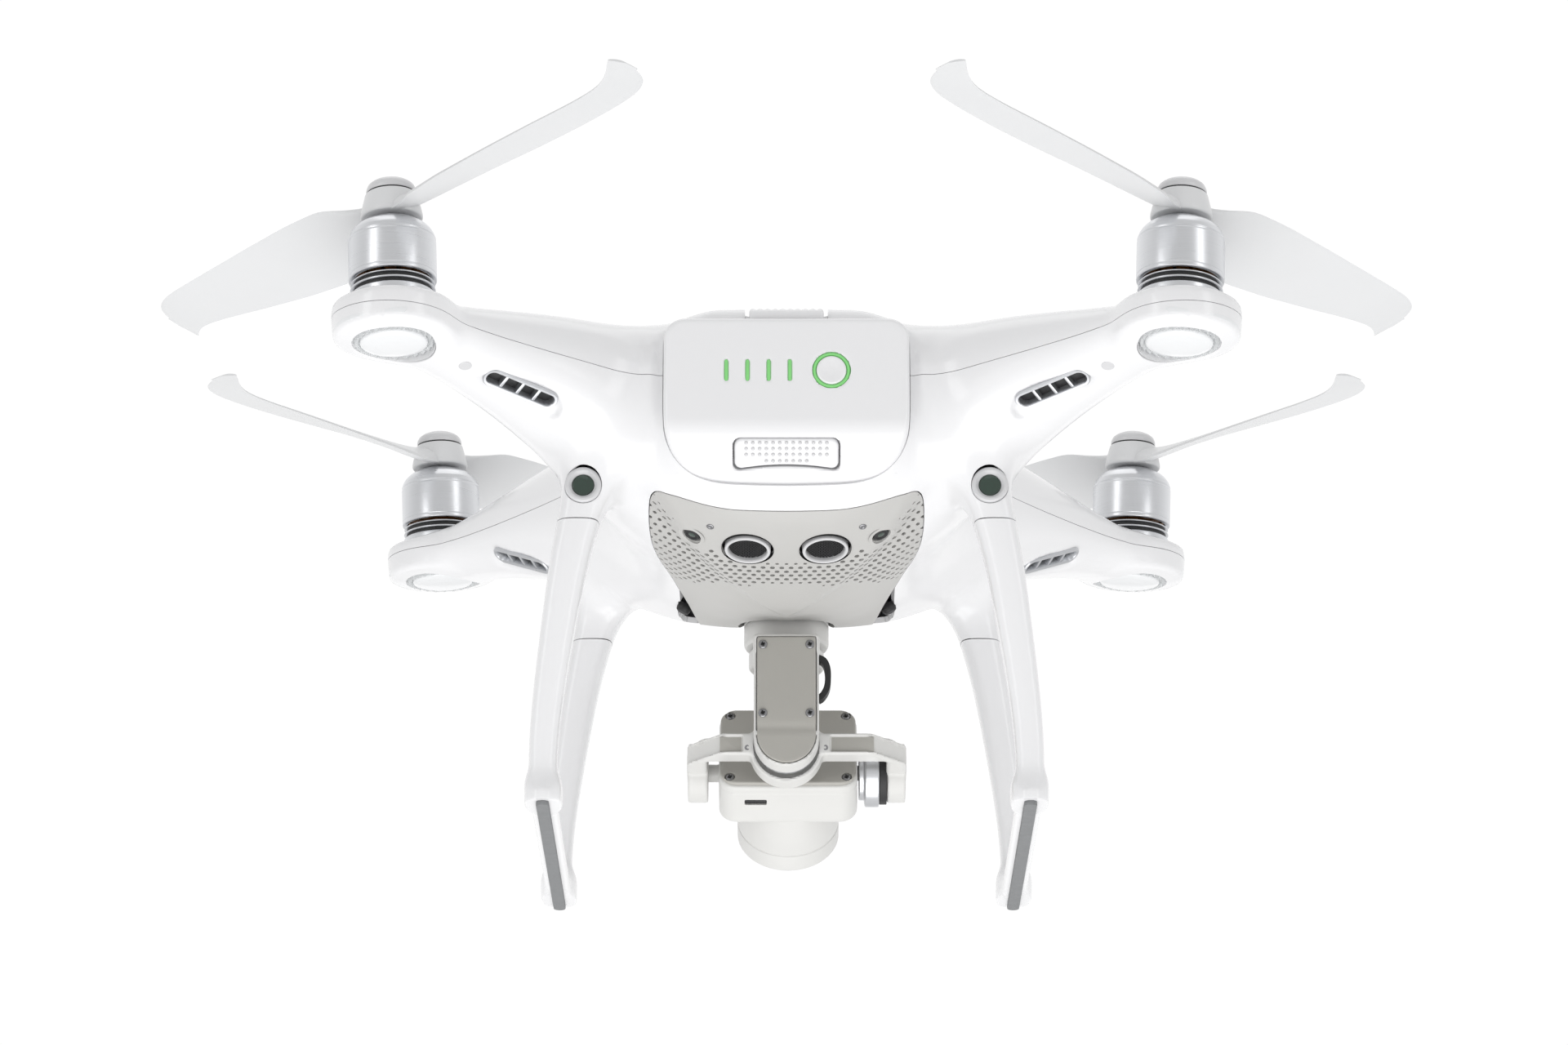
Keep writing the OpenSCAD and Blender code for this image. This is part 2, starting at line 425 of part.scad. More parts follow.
// ---------- camera, local: a along the lens, b up, x right ----------
module cam() translate([0, tilt_y, tilt_z]) rotate([-pitch, 0, 0]) children();
module camera_shell() color([0.82, 0.81, 0.79]) cam() difference() {
  union() {
    translate([0.6, 6, 0]) rotate([90, 0, 0]) linear_extrude(17.4) offset(6, $fn = 48)
      square([46.6 - 12, 36 - 12], center = true);
    translate([-33, 0, 0]) rotate([0, 90, 0]) cylinder(r = 3, h = 12, $fn = 32);
    translate([20, 0, 0]) rotate([0, 90, 0]) cylinder(r = 2.5, h = 9.6, $fn = 32);
  }
  translate([-13.9, -8.2, -18.5]) cube([7.2, 2.2, 6]);
  for (x = [-19, 20.2]) for (z = [-14.7, 14.7]) translate([x, -12, z]) rotate([-90, 0, 0])
    cylinder(r = 0.85, h = 5, $fn = 16);
  translate([0.6, -3, 0]) rotate([-90, 0, 0]) cylinder(r = 14, h = 10, $fn = 64);
}
module camera_back() color([0.67, 0.66, 0.63]) cam() difference() {
  translate([0.6, -11.4, 0]) rotate([90, 0, 0]) linear_extrude(1.6) offset(5.6, $fn = 48)
    square([45.8 - 11.2, 35.2 - 11.2], center = true);
  for (x = [-19, 20.2]) for (z = [-14.7, 14.7]) translate([x, -14, z]) rotate([-90, 0, 0])
    cylinder(r = 1.6, h = 6, $fn = 24);
}
module back_screws() color([0.35, 0.35, 0.36]) cam() for (x = [-19, 20.2]) for (z = [-14.7, 14.7])
  translate([x, -12.8, z]) rotate([-90, 0, 0]) difference() {
    union() { cylinder(r = 1.5, h = 1.4, $fn = 24); cylinder(r = 0.8, h = 5, $fn = 16); }
    translate([0, 0, -0.1]) cylinder(r = 0.6, h = 0.7, $fn = 6);
  }
module lens_barrel() color([0.78, 0.77, 0.75]) cam() translate([0.6, 0, 0]) rotate([-90, 0, 0])
  rotate_extrude($fn = 96) polygon([[13, -2.5], [13.9, -2.5], [13.9, 6.02], [lens_r, 6.02], [lens_r, 22.2],
    [lens_r - 0.5, 22.3], [lens_r - 0.5, 22.7], [lens_r, 22.8], [lens_r, 29.3], [lens_r - 0.7, 30],
    [15.8, 30], [15.5, 29.7], [15.5, 26.7], [12.6, 26], [11, 23], [11, 21.5], [13, 21.5]]);
module lens_glass() color([0.05, 0.06, 0.09]) cam() translate([0.6, 0, 0]) rotate([-90, 0, 0]) union() {
  rotate_extrude($fn = 64) polygon([[0, 18.5], [12.9, 18.5], [12.9, 21.4], [10.9, 21.5], [10.9, 22.6],
    [6, 24], [0, 24.4]]);
  translate([0, 0, 2]) cylinder(r = 12.9, h = 2, $fn = 64);
}

// ---------- battery ----------
module cap2d() hull() {
  for (s = [-1, 1]) { translate([s*(cap_hw - 7), zc + 33]) circle(7, $fn = 32);
    translate([s*(cap_hw - 4), zc + 8]) circle(4, $fn = 32);
    translate([s*(cap_hw - 14), zc + 0.5]) circle(13, $fn = 48); }
}
module battery_case() color([0.9, 0.9, 0.9]) difference() {
  rbox(-36.6, 36.6, -78.5, 33.6, zc - 9, zc + 37.4, 3);
  rbox(-34.8, 34.8, -74, 31.8, zc - 7.2, zc + 35.6, 2);
  for (i = [-1.5:1:1.5]) translate([i*8, 33.7, zc + 4]) rotate([90, 0, 0]) cylinder(r = 2, h = 3, $fn = 16);
  translate([-12.6, -79, zc + 34.6]) cube([25.2, 8.5, 6]);
}
module battery_cells() color([0.25, 0.35, 0.6]) for (i = [0:3])
  rbox(-33, 33, -70, 28, zc - 6.6 + i*10.4, zc + 3.2 + i*10.4, 2);
module battery_cap() color([0.95, 0.95, 0.95]) difference() {
  intersection() {
    translate([0, -78.6, 0]) rotate([90, 0, 0]) linear_extrude(11.4) cap2d();
    rotate([90, 0, 90]) translate([0, 0, -50]) linear_extrude(100)
      polygon([[-78.6, zc+60], [-78.6, zc-14], [-90, zc+1.5], [-90, zc+38.4], [-88.4, zc+60]]);
  }
  translate([14.4, -79, zc + 21.9]) rotate([90, 0, 0]) cylinder(r = 6.05, h = 20, $fn = 48);
  for (x = lights_x) translate([x - 0.55, -91, zc + 18.3]) cube([1.1, 2, 7.2]);
  translate([-12.6, -91, zc + 36.6]) cube([25.2, 20, 9]);
  translate([-17.2, -95, zc - 20]) cube([34.4, 14, 19.4]);
}
lights_x = [-19.3, -12.5, -5.7, 1.1];
module level_lights() color([0.45, 0.8, 0.42]) for (x = lights_x)
  translate([x - 0.5, -90.05, zc + 18.35]) cube([1, 1, 7.1]);
module button_light_ring() color([0.45, 0.8, 0.42]) translate([14.4, -90.05, zc + 21.9]) rotate([-90, 0, 0])
  difference() { cylinder(r = 6, h = 3, $fn = 48); translate([0, 0, -1]) cylinder(r = 5.1, h = 5, $fn = 48); }
module power_button() color([0.93, 0.93, 0.93]) translate([14.4, -90.3, zc + 21.9]) rotate([-90, 0, 0])
  cylinder(r = 4.75, h = 7, $fn = 48);
module upper_latch() color([0.9, 0.9, 0.9]) {
  rbox(-12, 12, -87.4, -78.3, zc + 39.7, zc + 43.4, 2);
  for (i = [-4.5:1:4.5]) translate([i*2.4, -86, zc + 43.4])
    rotate([-90, 0, 0]) cylinder(r = 0.9, h = 6.4, $fn = 16);
}
module lower_latch() color([0.93, 0.93, 0.93]) difference() {
  intersection() {
    translate([-16.85, -90, zc - 16]) cube([33.7, 7, 15.1]);
    rotate([90, 0, 90]) translate([0, 0, -50]) linear_extrude(100)
      polygon([[-83, zc], [-83, zc-7.3], [-90, zc+2.2], [-90, zc+4]]);
  }
  for (i = [-3:3]) translate([i*4, -86.6, zc - 3.2]) rotate([45, 0, 0]) translate([0, 0, -3]) cylinder(r = 0.7, h = 3, $fn = 12);
}

upper_shell();
lower_shell();
belly_cover();
belly_screws();
arm_vents();
led_lenses();
led_boards();
motor_bases();
motor_stators();
landing_gear_left();
landing_gear_right();
skid_pad_left();
skid_pad_right();
rear_sensors();
front_sensors();
sensor_windows();
ultrasonic_rings();
ultrasonic_meshes();
belly_cameras();
main_board();
esc_board();
gps_module();
battery_connector();
damper_plate();
dampers();
yaw_motor();
battery_case();
battery_cap();
battery_cells();
level_lights();
button_light_ring();
power_button();
upper_latch();
lower_latch();
bell_rl();
bell_rr();
bell_fl();
bell_fr();
propeller_rl();
propeller_rr();
propeller_fl();
propeller_fr();
hub_cap_rl();
hub_cap_rr();
hub_cap_fl();
hub_cap_fr();
yaw_arm();
arm_cover();
arm_screws();
ribbon_cable();
roll_motor();
roll_yoke();
tilt_motor();
camera_shell();
camera_back();
back_screws();
lens_barrel();
lens_glass();
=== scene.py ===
import json
import math
import bpy
import numpy as np
from mathutils import Vector, Matrix


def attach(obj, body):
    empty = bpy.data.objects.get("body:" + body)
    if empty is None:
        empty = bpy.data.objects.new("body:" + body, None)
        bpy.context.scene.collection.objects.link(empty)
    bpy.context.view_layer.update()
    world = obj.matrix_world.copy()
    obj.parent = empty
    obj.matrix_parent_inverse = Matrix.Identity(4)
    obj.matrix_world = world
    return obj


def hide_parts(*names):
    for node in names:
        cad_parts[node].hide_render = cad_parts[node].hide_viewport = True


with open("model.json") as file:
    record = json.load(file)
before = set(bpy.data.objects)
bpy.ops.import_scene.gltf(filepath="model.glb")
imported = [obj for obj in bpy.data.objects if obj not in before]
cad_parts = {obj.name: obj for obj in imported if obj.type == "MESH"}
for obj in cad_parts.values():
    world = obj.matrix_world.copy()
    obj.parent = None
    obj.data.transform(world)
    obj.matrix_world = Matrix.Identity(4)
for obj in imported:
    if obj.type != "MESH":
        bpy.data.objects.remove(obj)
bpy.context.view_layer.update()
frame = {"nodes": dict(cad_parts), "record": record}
MM = 0.001
ZC = 116.6                      # reference plane above the ground, mm
MD = 350/(2*math.sqrt(2))       # motor offset in X and Y, mm
MZ = ZC + 30.5                  # height of the motor seats, mm
LEAN = math.radians(2.4)        # motors lean in by this in X and in Y
SLOPE_C, SLOPE_S = math.cos(math.radians(50)), math.sin(math.radians(50))   # lower rear face of the battery
GIMBAL = Matrix.Translation((0, 20, 0))     # yaw axis
TZ = ZC - 74.2                  # roll and tilt axes, mm
SENSOR = (65.3, 69.6, -11.9)    # obstacle sensor of an arm, Z from ZC, mm
SONAR, EYE = (12.6, -53.5), (31, -56)       # sonars and cameras of the belly in plan, mm
LEVELS = (-19.3, -12.5, -5.7, 1.1)          # charge lights in X, mm
ARMS = [(sx, sy) for sx in (-1, 1) for sy in (-1, 1)]

# --- camera
cam = bpy.data.cameras.new("cam")
cam_o = bpy.data.objects.new("cam", cam)
bpy.context.scene.collection.objects.link(cam_o)
bpy.context.scene.camera = cam_o
BELOW = math.radians(18.2)      # the camera looks up by this
DIST = 1.756
target = Vector((-0.0008, 0.0, ZC*MM))
cam_o.location = target + Vector((0, -math.cos(BELOW)*DIST, -math.sin(BELOW)*DIST))
cam_o.rotation_euler = (math.pi/2 + BELOW, 0, 0)
cam.sensor_width = 36
cam.lens = 6414/1920*36         # mm; 6414 in a frame 1920 wide
cam.clip_start = 0.05
cam.clip_end = 60


# --- mesh helpers, millimetres in
def smooth_table(xs, ys, width, n=1200):
    """A dense lookup through the points, with its corners rounded over about width."""
    xd = np.linspace(xs[0], xs[-1], n)
    yd = np.interp(xd, xs, ys)
    k = max(1, int(width/(xs[-1] - xs[0])*n/2))
    for _ in range(3):
        pad = np.concatenate([2*yd[0] - yd[k:0:-1], yd, 2*yd[-1] - yd[-2:-k - 2:-1]])
        c = np.cumsum(np.insert(pad, 0, 0))
        yd = (c[2*k + 1:] - c[:-2*k - 1])/(2*k + 1)
    return lambda x: np.interp(x, xd, yd)


def surface_nets(fn, lo, hi, step):
    """Closed quad surface of fn = 0 (negative inside) in a box."""
    n = [int(math.ceil((b - a)/step)) + 1 for a, b in zip(lo, hi)]
    ax = [a + step*np.arange(k) for a, k in zip(lo, n)]
    F = np.empty(n, np.float32)
    X, Y = np.meshgrid(ax[0], ax[1], indexing="ij")
    for k, z in enumerate(ax[2]):
        F[:, :, k] = fn(X, Y, np.full_like(X, z))
    S = F < 0
    cn = tuple(m - 1 for m in n)
    cnt = np.zeros(cn, np.int8)
    for i, j, k in np.ndindex(2, 2, 2):
        cnt += S[i:i + cn[0], j:j + cn[1], k:k + cn[2]]
    cells = np.argwhere((cnt > 0) & (cnt < 8))
    index = -np.ones(cn, np.int64)
    index[cells[:, 0], cells[:, 1], cells[:, 2]] = np.arange(len(cells))
    total = np.zeros((len(cells), 3))
    hits = np.zeros(len(cells))
    for a in range(3):
        for u in (0, 1):
            for v in (0, 1):
                o0 = [0, 0, 0]
                o0[(a + 1) % 3], o0[(a + 2) % 3] = u, v
                o1 = list(o0)
                o1[a] = 1
                p0, p1 = cells + o0, cells + o1
                f0 = F[p0[:, 0], p0[:, 1], p0[:, 2]].astype(float)
                f1 = F[p1[:, 0], p1[:, 1], p1[:, 2]].astype(float)
                m = (f0 < 0) != (f1 < 0)
                t = np.where(m, f0/np.where(m, f0 - f1, 1), 0)
                total += np.where(m[:, None], p0 + t[:, None]*(p1 - p0), 0)
                hits += m
    V = np.array(lo) + step*total/hits[:, None]
    quads = []
    for a in range(3):
        b, c = (a + 1) % 3, (a + 2) % 3
        s0 = [slice(None)]*3
        s1 = [slice(None)]*3
        s0[a], s1[a] = slice(0, n[a] - 1), slice(1, n[a])
        for ss in (s0, s1):
            ss[b], ss[c] = slice(1, n[b] - 1), slice(1, n[c] - 1)
        A, B = S[tuple(s0)], S[tuple(s1)]
        e = np.argwhere(A != B)
        if not len(e):
            continue
        flip = A[e[:, 0], e[:, 1], e[:, 2]]
        base = e.copy()
        base[:, b] += 1
        base[:, c] += 1
        ring = []
        for db, dc in ((0, 0), (-1, 0), (-1, -1), (0, -1)):
            q = base.copy()
            q[:, b] += db
            q[:, c] += dc
            ring.append(index[q[:, 0], q[:, 1], q[:, 2]])
        q = np.stack(ring, 1)
        q[~flip] = q[~flip][:, ::-1]
        quads.append(q)
    return V, np.concatenate(quads)


def settle(fn, V, rounds=3, h=0.05):
    """Moves points onto fn = 0 along its gradient."""
    V = V.copy()
    for _ in range(rounds):
        f = fn(V[:, 0], V[:, 1], V[:, 2])
        g = np.stack([fn(V[:, 0] + h*(a == 0), V[:, 1] + h*(a == 1), V[:, 2] + h*(a == 2)) - f
                      for a in range(3)], 1)/h
        gl = np.maximum((g*g).sum(1), 1e-6)
        V -= np.clip(f/gl, -2, 2)[:, None]*g
    return V


def clip(V, faces, g):
    """Keeps the side of the mesh where g is negative, cutting faces exactly at g = 0."""
    val = g(V)
    val = np.where(np.abs(val) < 1e-5, -1e-5, val)
    inside = val < 0
    out, cut = [], []
    if isinstance(faces, np.ndarray):
        c = inside[faces].sum(1)
        out = faces[c == faces.shape[1]].tolist()
        cut = faces[(c > 0) & (c < faces.shape[1])].tolist()
    else:
        for f in faces:
            c = sum(1 for i in f if inside[i])
            if c == len(f):
                out.append(f)
            elif c:
                cut.append(f)
    new, made = [], {}
    nv = len(V)
    for f in cut:
        poly = []
        for i, a in enumerate(f):
            b = f[(i + 1) % len(f)]
            if inside[a]:
                poly.append(a)
            if inside[a] != inside[b]:
                key = (min(a, b), max(a, b))
                if key not in made:
                    t = val[a]/(val[a] - val[b])
                    made[key] = nv + len(new)
                    new.append(V[a] + t*(V[b] - V[a]))
                poly.append(made[key])
        if len(poly) > 2:
            out.append(poly)
    if new:
        V = np.concatenate([V, np.array(new)])
    return compact(V, out)


def compact(V, faces):
    used = np.zeros(len(V), bool)
    for f in faces:
        used[f] = True
    m = np.cumsum(used) - 1
    return V[used], [[int(m[i]) for i in f] for f in faces]


def thicken(V, faces, t):
    """Gives an open surface a wall of t behind it, closed round its rims."""
    me = bpy.data.meshes.new("tmp")
    me.from_pydata([tuple(v) for v in V], [], faces)
    nrm = np.zeros(len(V)*3)
    me.vertex_normals.foreach_get("vector", nrm)
    bpy.data.meshes.remove(me)
    nrm = nrm.reshape(-1, 3)
    n = len(V)
    edges = {}
    for f in faces:
        for i, a in enumerate(f):
            b = f[(i + 1) % len(f)]
            edges[(a, b)] = edges.get((a, b), 0) + 1
    rim = [(a, b) for (a, b) in edges if (b, a) not in edges]
    back = [[n + i for i in reversed(f)] for f in faces]
    side = [[b, a, n + a, n + b] for a, b in rim]
    return np.concatenate([V, V - nrm*t]), faces + back + side


def make(name, V, faces, body, slot, replaces=(), sharp=32, smooth=True, mat=None):
    """Object from points in millimetres, riding on a body, with its slot's material unless mat names one."""
    me = bpy.data.meshes.new(name)
    me.from_pydata([(float(v[0])*MM, float(v[1])*MM, float(v[2])*MM) for v in V], [],
                   [list(map(int, f)) for f in faces])
    me.validate()
    if smooth:
        me.shade_smooth()
        me.set_sharp_from_angle(angle=math.radians(sharp))
    me.update()
    o = bpy.data.objects.new(name, me)
    bpy.context.scene.collection.objects.link(o)
    me.materials.append(M[mat or SAME_AS.get(slot, slot)])
    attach(o, body)
    if replaces:
        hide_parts(*replaces)


# --- materials
def add_node(nt, kind, **values):
    n = nt.nodes.new("ShaderNode" + kind)
    for key, value in values.items():
        n.inputs[key.replace("_", " ")].default_value = value
    return n


M = {}


def material(name, rgb, rough=0.4, metal=0.0, spec=0.5, coat=0.0, coat_rough=0.05, bump=None,
             vary=0.03, vary_scale=60.0, rough_vary=0.06, trans=0.0, ior=1.5, emit=None, emit_s=0.0,
             stretch=(1, 1, 1)):
    """Noise varies the colour and the roughness; bump is (scale, strength, distance)."""
    m = bpy.data.materials.new(name)
    m.use_nodes = True
    nt = m.node_tree
    link = nt.links.new
    b = nt.nodes["Principled BSDF"]
    sockets = {"Metallic": metal, "Specular IOR Level": spec, "Coat Weight": coat,
               "Coat Roughness": coat_rough, "IOR": ior, "Transmission Weight": trans}
    if emit:
        sockets.update({"Emission Color": (*emit, 1), "Emission Strength": emit_s})
    for key, value in sockets.items():
        b.inputs[key].default_value = value
    mp = add_node(nt, "Mapping", Scale=stretch)
    link(add_node(nt, "TexCoord").outputs["Object"], mp.inputs["Vector"])
    nz = add_node(nt, "TexNoise", Scale=vary_scale, Detail=4)
    link(mp.outputs["Vector"], nz.inputs["Vector"])
    ramp = add_node(nt, "Mix")
    ramp.data_type = "RGBA"
    ramp.inputs[6].default_value = (*[c*(1 - vary) for c in rgb], 1)
    ramp.inputs[7].default_value = (*[min(1, c*(1 + vary)) for c in rgb], 1)
    link(nz.outputs["Fac"], ramp.inputs["Factor"])
    link(ramp.outputs[2], b.inputs["Base Color"])
    mr = add_node(nt, "MapRange", To_Min=max(0, rough - rough_vary), To_Max=min(1, rough + rough_vary))
    link(nz.outputs["Fac"], mr.inputs["Value"])
    link(mr.outputs["Result"], b.inputs["Roughness"])
    if bump:
        bz = add_node(nt, "TexNoise", Scale=bump[0], Detail=3)
        link(mp.outputs["Vector"], bz.inputs["Vector"])
        bp = add_node(nt, "Bump", Strength=bump[1], Distance=bump[2])
        link(bz.outputs["Fac"], bp.inputs["Height"])
        link(bp.outputs["Normal"], b.inputs["Normal"])
    M[name] = m
    return m


material("shell_white", (0.82, 0.82, 0.83), 0.22, coat=0.35, coat_rough=0.08, bump=(900, 0.03, 0.0002),
         vary=0.006, vary_scale=25, rough_vary=0.03)
material("blade_white", (0.7, 0.705, 0.712), 0.36, vary=0.01, rough_vary=0.02)
material("belly_grey", (0.5, 0.495, 0.48), 0.42, bump=(1800, 0.12, 0.0002), vary=0.02, vary_scale=90)
material("pad_rubber", (0.22, 0.225, 0.23), 0.75, spec=0.3, bump=(1500, 0.5, 0.0004), vary=0.12,
         vary_scale=300)
material("motor_metal", (0.72, 0.73, 0.75), 0.3, metal=1.0, vary=0.04, vary_scale=40, stretch=(1, 1, 60),
         rough_vary=0.07, bump=(60, 0.05, 0.0001))
material("gimbal_metal", (0.65, 0.647, 0.63), 0.36, bump=(2200, 0.1, 0.0001), vary=0.02, vary_scale=120)
# gimbal_cover is a darker copy of gimbal_metal for the plates that face the viewer: painted shade
material("gimbal_cover", (0.4, 0.39, 0.36), 0.4, bump=(2200, 0.12, 0.0001), vary=0.03, vary_scale=120)
material("screw_steel", (0.3, 0.3, 0.31), 0.3, metal=1.0, vary=0.1, vary_scale=400)
material("black_trim", (0.015, 0.015, 0.016), 0.5, bump=(1500, 0.2, 0.0002), vary=0.2)
material("dark_glass", (0.004, 0.028, 0.014), 0.06, coat=1.0, coat_rough=0.02, vary=0.2, rough_vary=0.02)
material("lamp_lens", (0.88, 0.9, 0.91), 0.08, trans=0.4, ior=1.45, bump=(300, 0.05, 0.0002), vary=0.02)
material("opal_white", (0.8, 0.81, 0.82), 0.14, coat=0.5, vary=0.01, bump=(250, 0.05, 0.0003))
material("sensor_ring", (0.62, 0.62, 0.63), 0.3, coat=0.3, vary=0.03)
material("vent_metal", (0.6, 0.61, 0.63), 0.3, metal=0.9, vary=0.05, vary_scale=300)
material("light_green", (0.2, 0.56, 0.18), 0.35, vary=0.02, emit=(0.2, 0.6, 0.18), emit_s=0.2)
material("circuit_board", (0.02, 0.14, 0.07), 0.35, vary=0.2, vary_scale=500)
material("winding", (0.42, 0.2, 0.07), 0.35, metal=0.8, vary=0.15, vary_scale=900, stretch=(1, 1, 8))
material("cell_wrap", (0.05, 0.11, 0.3), 0.35, vary=0.1, vary_scale=200)
material("damper_rubber", (0.02, 0.02, 0.02), 0.8, vary=0.2, bump=(900, 0.3, 0.0003))

# Slots with another one's look; the rest carry their material's name.
SAME_AS = {"white_shell": "shell_white", "gear_white": "shell_white", "hub_white": "shell_white",
           "battery_white": "shell_white", "carbon_plate": "black_trim"}
for sp in frame["record"]["subparts"]:
    slot = sp["material_slot"]
    mats = frame["nodes"][sp["node"]].data.materials
    mats.clear()
    mats.append(M[SAME_AS.get(slot, slot)])

# --- airframe surface
# Plan outline for x > 0 from the rear end round to the front, mirrored for x < 0.
PLAN = [(0, -102), (30, -102), (39.5, -98), (41.5, -90), (44.5, -84.5), (52, -86.5), (64, -95),
        (79.7, -105.3), (95, -116.5), (109, -131), (118, -140), (130, -141), (141, -130), (140, -118),
        (131, -109), (116.5, -95), (105.3, -79.7), (95, -64), (84.6, -48), (75, -33), (66.5, -17),
        (63, 0), (66.5, 17), (75, 33), (84.6, 48), (95, 64), (105.3, 79.7), (116.5, 95), (131, 109),
        (140, 118), (141, 130), (130, 141), (118, 140), (109, 131), (95, 116.5), (79.7, 105.3),
        (64, 95), (48, 84.6), (36, 77.5), (22, 70.5), (10, 67), (0, 66)]


def chaikin(p, rounds):
    p = np.array(p, float)
    for _ in range(rounds):
        q = np.roll(p, -1, 0)
        p = np.stack([0.75*p + 0.25*q, 0.25*p + 0.75*q], 1).reshape(-1, 2)
    return p


outline = chaikin(PLAN + [(-x, y) for x, y in PLAN[-2:0:-1]], 3)


def polygon_distance(poly, X, Y):
    """Signed distance to a closed polygon, negative inside."""
    d = np.full(X.shape, 1e9)
    inside = np.zeros(X.shape, bool)
    for (x0, y0), (x1, y1) in zip(poly, np.roll(poly, -1, 0)):
        ex, ey = x1 - x0, y1 - y0
        wx, wy = X - x0, Y - y0
        t = np.clip((wx*ex + wy*ey)/(ex*ex + ey*ey), 0, 1)
        d = np.minimum(d, (wx - t*ex)**2 + (wy - t*ey)**2)
        c = ((y0 > Y) != (y1 > Y)) & (X < (x1 - x0)*(Y - y0)/(y1 - y0 + 1e-12) + x0)
        inside ^= c
    return np.sqrt(d)*np.where(inside, -1, 1)


GS = 1.0
GX = np.arange(-152, 152.5, GS)
GXX, GYY = np.meshgrid(GX, GX, indexing="ij")
plan_d = polygon_distance(outline, GXX, GYY)
# round off the medial creases a little
for _ in range(2):
    plan_d = (plan_d + np.roll(plan_d, 1, 0) + np.roll(plan_d, -1, 0) + np.roll(plan_d, 1, 1)
              + np.roll(plan_d, -1, 1))/5


def grid_look(G, X, Y):
    u = np.clip((X - GX[0])/GS, 0, len(GX) - 1.001)
    v = np.clip((Y - GX[0])/GS, 0, len(GX) - 1.001)
    i, j = u.astype(int), v.astype(int)
    fu, fv = u - i, v - j
    return ((G[i, j]*(1 - fu) + G[i + 1, j]*fu)*(1 - fv)
            + (G[i, j + 1]*(1 - fu) + G[i + 1, j + 1]*fu)*fv)


seam_t = smooth_table([0, 60, 80, 110, 140, 160, 220], [20.5, 20.8, 21, 22.5, 24.5, 25.5, 25.9], 20)
crest_t = smooth_table([0, 40, 70, 90, 110, 130, 150, 165, 220],
                       [31.5, 30.2, 27.3, 24, 20.5, 16.2, 11.2, 7.6, 4], 18)
wide_t = smooth_table([0, 50, 80, 110, 150, 180, 220], [58, 50, 30, 21, 15.5, 14, 14], 20)
d_diag = smooth_table([0, 30, 50, 65, 80, 95, 106, 120, 141, 160, 220],
                      [54, 51, 46, 39, 31, 24, 19.5, 15.5, 12, 9, 6], 16)
d_rear = smooth_table([0, 10, 30, 48, 60, 70, 79, 120], [54, 55, 52.5, 49.5, 46.5, 43, 39, 24], 12)
d_front = smooth_table([0, 5, 20, 35, 50, 66, 120], [54, 53.5, 50.5, 46.5, 42, 38, 20], 12)
d_side = smooth_table([0, 25, 43, 64, 120], [54, 52, 47, 40, 20], 12)

S2 = np.hypot(GXX, GYY)
A2 = np.degrees(np.arctan2(np.abs(GYY), np.abs(GXX)))        # 0 side, 90 front or rear


def ease(x):
    x = np.clip(x, 0, 1)
    return x*x*(3 - 2*x)


w_rear_only = np.where(GYY < 0, ease((A2 - 52)/10), ease((A2 - 55)/20))
w_side = ease((34 - A2)/22)
fr = ease((GYY + 12)/24)
D2 = d_diag(S2)
D2 = D2*(1 - w_rear_only) + (d_rear(S2)*(1 - fr) + d_front(S2)*fr)*w_rear_only
D2 = D2*(1 - w_side) + d_side(S2)*w_side
C2 = crest_t(S2)
Z2 = seam_t(S2)
W2 = wide_t(S2)


def plan_fields(X, Y):
    return (grid_look(plan_d, X, Y), grid_look(C2, X, Y), grid_look(D2, X, Y), grid_look(Z2, X, Y),
            grid_look(W2, X, Y))


def smin(a, b, k):
    """Smaller of two fields, blended over k."""
    h = np.clip(0.5 + 0.5*(b - a)/k, 0, 1)
    return b*(1 - h) + a*h - k*h*(1 - h)


def smax(a, b, k):
    return -smin(-a, -b, k)


def corner(u, v):
    """Distance to a quadrant u < 0, v < 0."""
    return np.hypot(np.maximum(u, 0), np.maximum(v, 0)) + np.minimum(np.maximum(u, v), 0)


def round_rect(u, v, hu, hv, r):
    return corner(np.abs(u) - hu + r, np.abs(v) - hv + r) - r


def hull_field(X, Y, Z):
    d, c, dep, zs, w = plan_fields(X, Y)
    dz = Z - ZC - zs
    q = np.maximum(0, 1 + d/w)
    up = dz > 0
    H = np.where(up, c, dep)
    a = np.where(up, 2.6, 2.3)
    b = np.where(up, 2.1, 2.0)
    rr = (q**a + (np.abs(dz)/H)**b)
    # scale so that the value is close to millimetres near the surface
    gq = a*np.maximum(q, 0.05)**(a - 1)/w
    gz = b*np.maximum(np.abs(dz)/H, 0.02)**(b - 1)/H
    return (rr - 1)/np.sqrt(gq*gq + gz*gz + 1e-6)


def at_motor_local(X, Y, Z, sx, sy):
    """Coordinates in the leaning frame of an arm-end mount, z = 0 at its top."""
    R = (Matrix.Rotation(sx*LEAN, 3, "Y") @ Matrix.Rotation(sy*LEAN, 3, "X")).transposed()
    dx, dy, dz = X - sx*MD, Y - sy*MD, Z - MZ
    return tuple(row[0]*dx + row[1]*dy + row[2]*dz for row in R)


def mount_field(X, Y, Z):
    ax, ay = np.abs(X), np.abs(Y)
    lx, ly, lz = at_motor_local(ax, ay, Z, 1, 1)
    r = np.hypot(lx, ly)
    return corner(r - 19 + 1.6, np.abs(lz + 5.5) - 5.5 + 1.6) - 1.6


